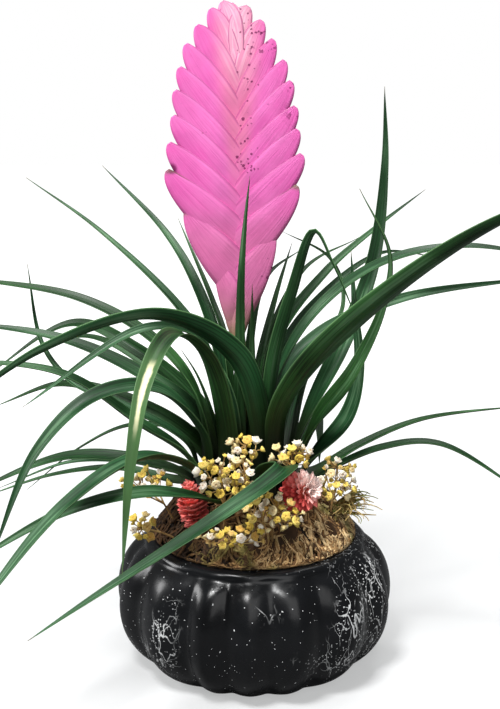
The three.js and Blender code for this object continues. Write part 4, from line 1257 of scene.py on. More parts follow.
@dataclass
class RibbedBowl:
    """Squashed bowl with full ribs under a plain rounded collar."""

    outside: tuple[Pair, ...] = (
        (47, 0), (51.5, 2.2), (59.4, 9.2), (65.4, 20), (67.4, 32), (65.4, 44), (60.2, 53.6), (53.6, 59),
    )
    ribbed: tuple[float, ...] = (0.75, 0.8, 0.9, 1, 1, 1, 0.8, 0.3)
    lip: tuple[Pair, ...] = ((52.9, 60.4), (51.6, 61.7), (49.6, 62.4), (47.4, 62.3), (46.1, 61.2))
    lip_rings: int = 15
    lip_ribbed: tuple[float, ...] = (0.7, 0.4, 0.2, 0.1, 0)
    inside: tuple[Pair, ...] = ((45.4, 59.5), (60, 38), (52, 8))
    floor: float = 5.0
    rib_depth: float = 0.062
    rib_round: float = 0.2
    rib_power: float = 2.3
    front_grooves: tuple[float, ...] = (212, 241, 258, 277, 298, 327)
    back_grooves: int = 9
    rows: int = 36
    columns_per_rib: int = 16

    def columns(self) -> tuple[Array, Array]:
        """Directions of the columns, and how deep in a groove each lies."""
        first, last = self.front_grooves[0] + 360, self.front_grooves[-1]
        step = (first - last) / (self.back_grooves + 1)
        grooves = [*self.front_grooves, *(last + step * (i + 1) for i in range(self.back_grooves)), first]
        share = np.arange(self.columns_per_rib) / self.columns_per_rib
        angles = [np.radians(a + (b - a) * share) for a, b in zip(grooves[:-1], grooves[1:])]
        edge = 1 + self.rib_round - np.sqrt((1 - np.abs(2 * share - 1)) ** 2 + self.rib_round**2)
        return np.concatenate(angles), np.tile(edge**self.rib_power, len(angles))

    def build(self, finish: Material) -> None:
        """Makes the bowl and puts it in place.

        Args:
            finish: the bowl's material.
        """
        knots = np.linspace(0, 1, self.rows)
        wall = SmoothCurve([(r, z, 0) for r, z in self.outside]).by_knot(knots)
        ribbed = np.interp(knots, np.linspace(0, 1, len(self.ribbed)), self.ribbed)
        lip = SmoothCurve([(r, z, 0) for r, z in (self.outside[-1], *self.lip, self.inside[0])])
        rounded = lip.by_knot(np.linspace(0, 1, self.lip_rings))[1:]
        inner = [(r, z, 0) for r, z in self.inside[1:]]
        chain = np.vstack([wall, rounded, inner])
        ribs = np.zeros(len(chain))
        ribs[: self.rows] = ribbed * self.rib_depth
        fading = ribbed[-1] * self.rib_depth * np.array(self.lip_ribbed)
        ribs[self.rows : self.rows + len(fading)] = fading
        angle, sunk = self.columns()
        radius = chain[:, 0][:, None] * (1 - ribs[:, None] * sunk[None, :])
        height = np.repeat(chain[:, 1][:, None], len(angle), axis=1)
        rings = np.stack([radius * np.cos(angle), radius * np.sin(angle), height], axis=2)
        body = np.vstack([rings.reshape(-1, 3), [[0, 0, 0], [0, 0, self.floor]]])
        mesh = make_mesh("ribbed_bowl", body, outward(body, loops_to_faces(*rings.shape[:2])))
        finish_piece("ribbed_bowl", mesh, (finish,), ("pot",))


@dataclass
class MossHeap:
    """Rough heap of dried moss around the stem, under a tangle of curly fibres.

    The heap is fullest at the front and thins out, barer, on the left, where its colour is darkened as
    painted shade; on the right it is lifted as painted light.
    """

    top: tuple[Pair, ...] = ((24.8, 73), (28, 78), (34, 78.5), (39.5, 74.5), (43.6, 69), (46.2, 64.8))
    bottom: tuple[Pair, ...] = ((45.8, 63.1), (44.2, 62.4), (44, 56.4), (24.6, 56.4))
    top_rings: int = 16
    rim_rings: tuple[int, int] = (13, 16)
    fullest: float = 290.0
    front_height: float = 1.6
    columns: int = 110
    wave_count: int = 18
    wave_lengths: Pair = (0.15, 0.7)
    wave_share: float = 0.3
    roughness: float = 0.42
    settled: float = 0.6
    spread: float = 0.004
    crown_shift: float = 2.0
    crown_width: float = 20.0
    bare_left: Pair = (2, 28)
    bare_share: float = 0.6
    shade_share: float = 0.72
    painted_light_right: Pair = (5, 35)
    painted_light_gain: float = 0.28
    surface_tone: float = 0.06
    seed: int = 19

    def surface(self) -> Mesh:
        """Makes the bare heap."""
        draws = Draws(self.seed)
        whole = 2 * math.pi
        waves = [
            (draws.between(*self.wave_lengths), draws() * whole, draws() * whole)
            for _ in range(self.wave_count)
        ]
        top = SmoothCurve([(r, z, 0) for r, z in self.top]).by_knot(np.linspace(0, 1, self.top_rings))
        chain = np.vstack([top, [(r, z, 0) for r, z in self.bottom]])
        angle = np.linspace(0, 2 * math.pi, self.columns, endpoint=False)
        front = np.maximum(0, np.cos(angle - math.radians(self.fullest)))
        first_rim, last_rim = self.rim_rings
        rings = []
        for i, (radius, height, _) in enumerate(chain):
            r = radius + (front - 1) * (first_rim <= i <= last_rim)
            z = height + self.front_height * front * (i <= first_rim)
            x, y = r * np.cos(angle), r * np.sin(angle)
            if 0 < i < self.top_rings:
                lump = sum(
                    math.sqrt(self.wave_share / k) * np.sin(k * (x * math.cos(d) + y * math.sin(d)) + p)
                    for k, d, p in waves
                )
                z = z + lump * self.roughness - self.settled
                x, y = x * (1 + lump * self.spread), y * (1 + lump * self.spread)
            share = (radius - self.top[0][0]) / self.crown_width
            rings.append(np.column_stack([x - self.crown_shift * max(0.0, 1 - share), y, z]))
        points = np.vstack(rings)
        count, size = len(rings), len(angle)
        faces = loops_to_faces(count, size, closed_ends=False)
        last = (count - 1) * size
        faces += [(last + j, last + (j + 1) % size, (j + 1) % size, j) for j in range(size)]
        hairy_rings = self.top_rings + 1
        covered = np.repeat(np.array([1.0] * hairy_rings + [0.0] * (count - hairy_rings)), size)
        # Barer on the left, with fewer fibres. The stored light share is painted shade on the left and
        # painted light on the right, and the surface's own tone darkens on the left as painted shade.
        bare = smoothstep(-points[:, 0], *self.bare_left)
        lit = 1 - self.painted_light_gain + self.painted_light_gain * smoothstep(points[:, 0], *self.painted_light_right)
        values = {
            "hairy": covered * (1 - self.bare_share * bare),
            "light": (1 - self.shade_share * bare) * lit,
            "tone": self.surface_tone - self.surface_tone * bare,
        }
        return make_mesh("moss_surface", points, outward(points, faces), values=values)

    def build(self, growths: Growths, finish: Material) -> None:
        """Grows the fibres and puts the heap in place.

        Args:
            growths: the node trees.
            finish: the moss's material.
        """
        mesh = growths.grow(
            "moss_heap", self.surface(), growths.fibres, Density=235000.0, Steps=9, Length=0.0175,
            Curl=480.0, Lift=0.0095, Sunk=0.0004, Thickness=0.00096, Tangle=0.0165, Rim=0.0482,
            Seat=0.0634, Brow=0.034, Crest=0.0832, Slope=1.32, Seed=self.seed, Finish=finish,
        )
        finish_piece("moss_heap", mesh, (), ("moss",))


# Dried flowers


@dataclass
class Skeleton:
    """Points of stalks and of the flower parts on them, gathered before they are grown."""

    points: list[Array] = field(default_factory=list)
    edges: list[tuple[int, int]] = field(default_factory=list)
    thick: list[float] = field(default_factory=list)
    turn: list[tuple[float, float, float]] = field(default_factory=list)
    size: list[tuple[float, float, float]] = field(default_factory=list)
    part: list[float] = field(default_factory=list)
    tone: list[float] = field(default_factory=list)

    def _add(
        self, point: Array, thick: float, turn: Point, size: Point, part: float, tone: float
    ) -> None:
        """Adds one point with its values."""
        self.points.append(np.asarray(point, float))
        self.thick.append(thick * MM)
        self.turn.append(turn)
        self.size.append(size)
        self.part.append(part)
        self.tone.append(tone)

    def stalk(self, points: Sequence[Array], radii: Sequence[float], tone: float = 0.5) -> None:
        """Adds a stalk.

        Args:
            points: the points it runs through.
            radii: its radius at each point, in millimetres.
            tone: its tone, 0 to 1.
        """
        start = len(self.points)
        for point, radius in zip(points, radii):
            self._add(point, radius, (0, 0, 0), (1, 1, 1), 0.0, tone)
        self.edges += [(start + i, start + i + 1) for i in range(len(points) - 1)]

    def flower_part(
        self, point: Array, along: Array, side: Array, size: Point, tone: float
    ) -> None:
        """Adds a bud or petal.

        Args:
            point: its foot, in millimetres.
            along: where its own +Z points.
            side: roughly where its own +X points.
            size: its scale, in millimetres.
            tone: its tone, 0 to 1.
        """
        z = Vector(along).normalized()
        y = z.cross(Vector(side)).normalized()
        turn = Matrix((y.cross(z), y, z)).transposed().to_euler()
        self._add(point, 0.0, tuple(turn), tuple(s * MM for s in size), 1.0, tone)

    def grown(
        self, name: str, growths: Growths, part: bpy.types.Object, sides: int,
        stalk_finish: Material, part_finish: Material,
    ) -> Mesh:
        """Grows the stalks and parts.

        Args:
            name: the mesh's name.
            growths: the node trees.
            part: the bud or petal.
            sides: how many sides a stalk has.
            stalk_finish: the stalks' material.
            part_finish: the parts' material.

        Returns:
            The mesh.
        """
        values = {key: np.array(getattr(self, key)) for key in ("thick", "turn", "size", "part", "tone")}
        start = make_mesh(name, np.array(self.points), edges=self.edges, values=values)
        return growths.grow(
            name, start, growths.stalks, Part=part, Sides=sides, Stalk_finish=stalk_finish,
            Part_finish=part_finish,
        )


def part_shape(name: str, points: Array, faces: list, heart: Array) -> bpy.types.Object:
    """Makes a hidden flower part that the trees place many times; its size is about one metre."""
    mesh = make_mesh(name, points / MM, outward(points, faces), values={"heart": heart})
    return bpy.data.objects.new(name, mesh)


@dataclass
class FloretShape:
    """Frilly little cup of a dried floret, with a sunken heart.

    Each ring holds its height, its radius, how frilly it is and how much it is part of
    the heart; a wave is its strength, its turn for each column and for each ring.
    """

    rings: tuple[tuple[float, float, float, float], ...] = (
        (-0.72, 0.34, 0.02, 0.5), (-0.3, 0.72, 0.08, 0.15), (0.16, 1.0, 0.16, 0.0), (0.46, 1.02, 0.3, 0.0),
        (0.34, 0.66, 0.14, 0.75), (0.62, 0.5, 0.34, 0.2), (0.4, 0.2, 0.1, 0.95),
    )
    poles: Pair = (-0.82, 0.2)
    columns: int = 15
    lobes: int = 5
    lobe_wave: Pair = (0.55, 0.5)
    torn_wave: Point = (0.5, 2.4, 1.7)
    twist: float = 0.16
    frill_out: float = 0.62
    frill_up: float = 0.8
    # Painted shade: how much the creases of the frill are darkened, stored as part of the heart.
    shade: float = 0.2

    def build(self) -> bpy.types.Object:
        """Makes the hidden shape."""
        column = np.arange(self.columns)
        around = column / self.columns * 2 * math.pi
        rings, hearts = [], []
        for i, (height, radius, frill, heart) in enumerate(self.rings):
            turn = around + self.twist * i
            strong, shift = self.lobe_wave
            torn, each_column, each_ring = self.torn_wave
            wave = strong * np.cos(around * self.lobes + i * shift)
            wave = wave + torn * np.cos(column * each_column + i * each_ring)
            wide = radius * (1 + frill * self.frill_out * wave)
            up = height + self.frill_up * frill * wave
            rings.append(np.column_stack([wide * np.cos(turn), wide * np.sin(turn), up]))
            hearts.append(np.full(self.columns, heart) + self.shade * np.maximum(0, -wave))
        points = np.vstack([*rings, *([[0, 0, pole]] for pole in self.poles)])
        faces = loops_to_faces(len(self.rings), self.columns)
        return part_shape("floret_shape", points, faces, np.concatenate([*hearts, [0.5, 1.0]]))


@dataclass
class PetalShape:
    """Thin papery petal, cupped along its length, with a blunt torn tip.

    Each station holds its height, its width and how far it is cupped.
    """

    stations: tuple[Point, ...] = (
        (0.0, 0.22, 0.0), (0.3, 0.62, 0.05), (0.62, 0.98, 0.06), (0.86, 0.94, 0.0), (1.0, 0.5, -0.07),
    )
    across: tuple[float, ...] = (-0.5, -0.18, 0.18, 0.5, 0.18, -0.18)
    deep: tuple[float, ...] = (0.13, 0.0, 0.0, 0.13, -0.055, -0.055)
    torn: float = 0.05
    torn_from: Pair = (0.2, 0.9)

    def build(self) -> bpy.types.Object:
        """Makes the hidden shape."""
        size = len(self.across)
        aside, above = self.torn_from
        rings, along = [], []
        for height, width, cup in self.stations:
            across = np.array(self.across) * width
            up = np.full(size, height) - self.torn * (np.abs(across) > aside) * (height > above)
            rings.append(np.column_stack([across, np.array(self.deep) * width + cup, up]))
            along.append(np.full(size, height))
        points = np.vstack([*rings, rings[0].mean(0)[None], rings[-1].mean(0)[None]])
        faces = loops_to_faces(len(self.stations), size)
        return part_shape("petal_shape", points, faces, 1 - np.concatenate([*along, [0.0, 1.0]]))


class Obstacles:
    """Points that the sprays keep clear of, each with its reach."""

    def __init__(self) -> None:
        """Starts with nothing in the way."""
        self.at = np.zeros((0, 3))
        self.size = np.zeros(0)

    def add(self, points: Sequence[Array], sizes: Sequence[float]) -> None:
        """Adds points with their reaches."""
        if len(points):
            self.at = np.vstack([self.at, np.array(points, float).reshape(-1, 3)])
            self.size = np.concatenate([self.size, np.array(sizes, float)])

    def clear(self, point: Array, reach: float) -> bool:
        """Whether a point keeps clear of everything."""
        return bool(np.all(np.linalg.norm(self.at - point, axis=1) > self.size + reach))

    def path_clear(self, start: Array, end: Array, reach: float, steps: int = 6) -> bool:
        """Whether a straight twig keeps clear all the way."""
        return all(self.clear(start + (end - start) * (i + 1) / steps, reach) for i in range(steps))


@dataclass
class Bloom:
    """Dried many-petalled bloom on a short stalk."""

    name: str
    middle: Point
    facing: Point
    radius: float
    height: float
    root: Point
    form: "BloomForm"
    towards: Point | None = None

    def bar(self, obstacles: Obstacles) -> None:
        """Marks the bloom as in the sprays' way."""
        facing = unit(np.array(self.facing))
        middle = np.array(self.middle, float)
        reach = max(self.radius, self.height * 0.6)
        stalk = middle + (np.array(self.root) - middle) * 0.6
        obstacles.add([middle + facing * self.height * 0.1, stalk], [reach + 0.5, 3.0])

    def skeleton(self) -> Skeleton:
        """Lays out the stalk, the core and every petal."""
        draws = Draws(len(self.name) * 7)
        facing = unit(np.array(self.towards or self.facing))
        ball = self.form is BloomForm.BALL
        spread = 3 if ball else 7
        middle, root = np.array(self.middle, float), np.array(self.root, float)
        across = unit(np.cross(facing, (0.31, 0.17, 1.0) if abs(facing[2]) < 0.9 else (1.0, 0.2, 0.0)))
        third = np.cross(facing, across)
        made = Skeleton()
        low = middle - facing * self.height * 0.3
        core = self.radius * (0.42 if ball else 0.5)
        top = middle + facing * self.height * (0.3 if ball else 0.42)
        made.stalk([low + (root - low) * t for t in (1, 0.5, 0)], [0.7, 0.75, 1.1], 0.4)
        made.stalk([low + (top - low) * t for t in (0, 0.3, 0.75, 1)], [1.2, core, core * 0.8, 0.5], 0.3)
        for foot, tilt, length, width, count, inset in self.form.value:
            for i in range(count):
                a = 2 * math.pi * (i + 0.5 * (foot * 7 % 2) + 0.5 * (draws() - 0.5)) / count
                out = across * math.cos(a) + third * math.sin(a)
                lean = math.radians(tilt + draws.between(-spread, spread))
                along = out * math.cos(lean) + facing * math.sin(lean)
                side = -across * math.sin(a) + third * math.cos(a)
                long = length * draws.between(0.86, 1.08)
                start = middle + facing * foot + out * inset
                pale = float(smoothstep(np.dot(along, unit(np.array(PALE_SIDE))), -0.2, 1.0))
                tone = (0.12 + 0.9 * pale if ball else 0.4) + draws.between(-0.08, 0.14)
                wide = width * draws.between(0.85, 1.15)
                made.flower_part(start, along, side, (wide, long * 0.6, long), min(1.0, max(0.0, tone)))
        return made


class BloomForm(Enum):
    """Rows of petals: foot up the axis, tilt, length, width, count and the foot's distance from the axis."""

    BALL = (
        (-3.2, -44, 7.0, 2.4, 18, 0.6), (-3.1, -27, 8.0, 2.6, 20, 0.9), (-2.8, -11, 8.6, 2.7, 22, 1.0),
        (-2.3, 4, 8.9, 2.8, 22, 1.0), (-1.7, 20, 8.9, 2.7, 20, 0.9), (-1.1, 37, 8.6, 2.5, 17, 0.8),
        (-0.4, 55, 8.0, 2.2, 12, 0.6), (0.3, 76, 7.2, 1.8, 6, 0.3),
    )
    CONE = (
        (-8.6, 0, 4.6, 3.8, 11, 1.2), (-7.1, 8, 5.2, 4.0, 12, 1.6), (-5.6, 16, 5.6, 4.2, 13, 1.9),
        (-4.1, 24, 5.9, 4.2, 13, 2.1), (-2.6, 31, 6.1, 4.1, 13, 2.2), (-1.1, 38, 6.2, 4.0, 12, 2.2),
        (0.5, 45, 6.2, 3.8, 12, 2.0), (2.1, 52, 6.2, 3.6, 11, 1.7), (3.8, 60, 6.1, 3.3, 9, 1.3),
        (5.3, 69, 6.0, 3.0, 7, 0.8), (6.4, 80, 6.0, 2.6, 4, 0.3),
    )


# Petals that point this way are paler.
PALE_SIDE = (0.75, -0.3, 0.6)
BLOOMS = (
    Bloom(
        "bloom_right", (22, -38, 96), (0.3, -0.85, 0.42), 10, 9, (17, -30, 70), BloomForm.BALL,
        towards=(0.62, -0.76, 0.2),
    ),
    Bloom("bloom_left", (-28, -29, 86), (-0.2, 0.05, 0.98), 8, 19, (-25, -27, 68), BloomForm.CONE),
)


@dataclass
class Spray:
    """Dried spray: where it is rooted, the middle and the half sizes of its clump, and its florets."""

    root: Pair
    middle: Point
    reach: Point
    florets: int
    floret_radius: float = 2.35
    shrunk: float = 0.84
    root_height: float = 66.0
    florets_per_fork: int = 5
    twigs_per_fork: int = 6
    fork_room: float = 3.5
    twig_radius: float = 0.42
    fork_tries: int = 200
    floret_tries: int = 2500
    companion_tries: int = 1500

    def plan(self, seed: int, obstacles: Obstacles) -> dict[str, list]:
        """Draws the forks and florets so that nothing is crossed.

        Args:
            seed: starts the draws.
            obstacles: what is kept clear of.

        Returns:
            The hub, the forks and, for each floret, its place, fork and size.
        """
        draws = Draws(seed)
        root, middle = np.array([*self.root, self.root_height]), np.array(self.middle, float)
        hub = root + (middle - root) * 0.55
        hub[2] = lerp(root[2], middle[2], 0.62)

        def draw(fill: float) -> Array:
            """Draws a point in the clump."""
            a = draws() * 2 * math.pi
            h = draws() * 2 - 1
            r = fill * draws() ** (1 / 3)
            flat = math.sqrt(1 - h * h)
            return middle + np.array(self.reach) * r * np.array([flat * math.cos(a), flat * math.sin(a), h])

        forks: list[dict] = []
        for _ in range(self.fork_tries):
            if len(forks) >= math.ceil(self.florets / self.florets_per_fork):
                break
            end = draw(0.75) + np.array([0, 0, -1.5])
            apart = all(np.linalg.norm(f["end"] - end) > self.fork_room for f in forks)
            if apart and obstacles.path_clear(hub, end, 0.9):
                forks.append({"end": end, "twigs": 0})
        taken = Obstacles()
        for fork in forks:
            taken.add([hub + (fork["end"] - hub) * t for t in (0.5, 0.75, 1)], [0.6] * 3)
        florets: list[tuple] = []
        for _ in range(self.floret_tries):
            if len(florets) >= self.florets:
                break
            at = draw(1)
            near = sorted(forks, key=lambda f: float(np.linalg.norm(f["end"] - at)))
            chosen = next((f for f in near if f["twigs"] < self.twigs_per_fork), None)
            if chosen is None:
                break
            fork = hub + (chosen["end"] - hub) * (0.97 - 0.1 * chosen["twigs"])
            steps = [fork + (at - fork) * t for t in (0.35, 0.55, 0.75)]
            radius = self.floret_radius
            free = taken.clear(at, radius + 0.25) and all(taken.clear(p, 0.75) for p in steps)
            if free and obstacles.clear(at, radius + 0.5) and obstacles.path_clear(fork, at, 0.8):
                size = radius * (0.86 + 0.28 * draws())
                florets.append((at, fork, size))
                taken.add([at, *steps], [size] + [self.twig_radius] * len(steps))
                chosen["twigs"] += 1
        ends = [f["end"] for f in forks if f["twigs"] > 0]
        return {"root": [root], "hub": [hub], "forks": ends, "florets": florets}

    def companions(
        self, plan: dict[str, list], seed: int, obstacles: Obstacles, wanted: int
    ) -> list[tuple]:
        """Finds room for smaller florets between the main ones.

        Args:
            plan: the spray's forks and florets.
            seed: starts the draws.
            obstacles: what is kept clear of.
            wanted: how many are looked for.

        Returns:
            Place, fork and size of each.
        """
        draws = Draws(seed)
        middle = np.array(self.middle, float)
        placed = [(at, size) for at, _, size in plan["florets"]]
        found: list[tuple] = []
        overlap = 0.8
        for _ in range(self.companion_tries):
            if len(found) >= wanted:
                break
            way = unit(np.array([draws() - 0.5, draws() - 0.5, draws() - 0.5]))
            at = middle + np.array(self.reach) * way * draws() ** 0.4 * 0.98
            size = self.floret_radius * draws.between(0.5, 0.85)
            apart = all(np.linalg.norm(at - p) > (s + size) * overlap for p, s in placed)
            if apart and obstacles.clear(at, size * overlap):
                fork = min([*plan["forks"], plan["hub"][0]], key=lambda f: float(np.linalg.norm(f - at)))
                placed.append((at, size))
                found.append((at, fork, size))
        return found

    def skeleton(self, plan: dict[str, list], extra: list[tuple], seed: int) -> Skeleton:
        """Lays out the stem, the twigs and the florets.

        Args:
            plan: the spray's forks and florets.
            extra: the smaller florets between them.
            seed: starts the draws.

        Returns:
            The skeleton.
        """
        draws = Draws(seed)
        made = Skeleton()
        root, hub = plan["root"][0], plan["hub"][0]
        made.stalk(self._bent(root, hub, draws, 0.6), (0.6, 0.58, 0.55, 0.52, 0.5), draws())
        for end in plan["forks"]:
            made.stalk(self._bent(hub, end, draws, 0.5), (0.5, 0.45, 0.4, 0.36, 0.34), draws())
        for at, fork, size in [*plan["florets"], *extra]:
            size *= self.shrunk
            along = unit(at - fork)
            foot = at - along * size * 0.6
            made.stalk(self._bent(fork, foot, draws, 0.4), (0.26, 0.25, 0.24, 0.26, 0.34), draws())
            tilt = along + np.array([draws() - 0.5, draws() - 0.75, draws() - 0.3]) * 0.9
            side = (draws() - 0.5, draws() - 0.5, draws() - 0.5)
            made.flower_part(at, tilt, side, (size, size, size * draws.between(0.85, 1.0)), draws())
        return made

    @staticmethod
    def _bent(start: Array, end: Array, draws: Draws, amount: float) -> list[Array]:
        """Five points of a slightly bent twig."""
        sag = np.array([draws() - 0.5, draws() - 0.5, draws() - 0.5]) * amount * 2
        return [start + (end - start) * t + sag * math.sin(math.pi * t) for t in (0, 0.25, 0.5, 0.75, 1)]


SPRAYS = (
    Spray((-14, -36), (-13, -45, 106), (15, 7, 10), 24),
    Spray((-6, -32), (-4, -34, 116), (8, 5, 6), 6),
    Spray((22, -22), (17, -29, 110), (10, 5, 6), 10),
    Spray((34, -14), (39, -15, 94), (10, 8, 11), 16),
    Spray((8, -38), (8, -48, 90), (15, 6, 9), 21),
    Spray((-33, -16), (-50, -14, 91), (13, 9, 7), 13),
    Spray((-34, -24), (-51, -29, 76), (6, 7, 6), 7),
    Spray((-10, -42), (-10, -50, 79), (17, 4, 4), 11),
)


@dataclass
class DriedFlowers:
    """The sprays and the two blooms that stand in the moss."""

    sprays: tuple[Spray, ...] = SPRAYS
    blooms: tuple[Bloom, ...] = BLOOMS
    seed: int = 71
    companion_seed: int = 500
    stalk_seed: int = 900
    companions_per_floret: float = 1.5
    highest_leaf: float = 130.0
    fork_radius: float = 0.65

    def in_the_way(self, leaves: Sequence[Leaf]) -> Obstacles:
        """Marks the leaves and blooms that the sprays keep clear of."""
        obstacles = Obstacles()
        for leaf in leaves:
            line = leaf.line()
            width = leaf.widths(line["share"])
            for share in (-0.42, -0.14, 0.14, 0.42):
                lift = leaf.lifts(line["share"], width) * abs(share) * 2 - leaf.thickness / 2
                at = line["point"] + line["side"] * (share * width)[:, None] + line["face"] * lift[:, None]
                low = at[:, 2] < self.highest_leaf
                obstacles.add(list(at[low]), list(np.maximum(1.3, width[low] * 0.13)))
        for bloom in self.blooms:
            bloom.bar(obstacles)
        return obstacles

    def build(self, growths: Growths, finishes: dict[str, Material]) -> None:
        """Grows the sprays and blooms and puts them in place.

        Args:
            growths: the node trees.
            finishes: the materials by name.
        """
        floret, petal = FloretShape().build(), PetalShape().build()
        obstacles = self.in_the_way(LEAVES)
        for number, spray in enumerate(self.sprays, 1):
            plan = spray.plan(self.seed + number - 1, obstacles)
            for at, fork, size in plan["florets"]:
                twig = [fork + (at - fork) * t for t in (0.25, 0.5, 0.75)]
                obstacles.add([at, *twig], [size] + [spray.twig_radius] * len(twig))
            hub = plan["hub"][0]
            for fork in plan["forks"]:
                branch = [hub + (fork - hub) * t for t in (0, 0.2, 0.4, 0.6, 0.8, 1)]
                obstacles.add(branch, [self.fork_radius] * len(branch))
            wanted = round(len(plan["florets"]) * self.companions_per_floret)
            extra = spray.companions(plan, self.companion_seed + number, obstacles, wanted)
            name = f"spray_{number}"
            mesh = spray.skeleton(plan, extra, self.stalk_seed + number).grown(
                f"{name}_florets", growths, floret, 5, finishes["twig"], finishes["floret"]
            )
            finish_piece(f"{name}_florets", mesh, (), (name,))
        for bloom in self.blooms:
            mesh = bloom.skeleton().grown(
                f"{bloom.name}_petals", growths, petal, 8, finishes["calyx"], finishes["petal"]
            )
            finish_piece(f"{bloom.name}_petals", mesh, (), (bloom.name,))
        for shape in (floret, petal):
            bpy.data.objects.remove(shape)


@dataclass
class StrawTuft:
    """Dry tuft that leans out over the lip, its straws joined at a knot in the moss."""

    knot: Point = (40, -9, 77)
    knot_size: Point = (6, 6, 3.5)
    straws: int = 96
    headings: Pair = (-36, 30)
    reach: Pair = (9, 21)
    rise: Pair = (-1, 9)
    core_every: int = 3
    core_headings: Pair = (-180, 180)
    core_reach: Pair = (2.5, 4.5)
    core_rise: Pair = (-2, 3)
    curl: Pair = (-1.2, 1.2)
    radii: Pair = (0.3, 0.62)
    taper: Pair = (1.05, 0.7)
    stations: int = 8
    seed: int = 8

    def build(self, growths: Growths, finish: Material) -> None:
        """Grows the straws and puts the tuft in place.

        Args:
            growths: the node trees.
            finish: the straws' material.
        """
        draws = Draws(self.seed)
        knot = np.array(self.knot, float)
        made = Skeleton()
        thick, thinned = self.taper
        shares = np.linspace(0, 1, self.stations)
        for i in range(self.straws):
            core = i % self.core_every == 0
            heading = math.radians(draws.between(*(self.core_headings if core else self.headings)))
            reach = draws.between(*(self.core_reach if core else self.reach))
            rise = draws.between(*(self.core_rise if core else self.rise))
            start = knot + (np.array([draws(), draws(), draws()]) - 0.5) * np.array(self.knot_size)
            curl = draws.between(*self.curl)
            points = []
            for t in shares:
                a = heading + curl * t
                ahead = np.array([math.cos(a), math.sin(a), 0.0]) * reach * t
                points.append(start + ahead * 0.95 + SKY * rise * (2.6 * t - 2.1 * t * t))
            radius = draws.between(*self.radii)
            made.stalk(points, [radius * (thick - thinned * t) for t in shares], draws())
        floret = FloretShape().build()
        mesh = made.grown("moss_tuft_straws", growths, floret, 4, finish, finish)
        bpy.data.objects.remove(floret)
        finish_piece("moss_tuft_straws", mesh, (), ("moss_tuft",))


# Finishes


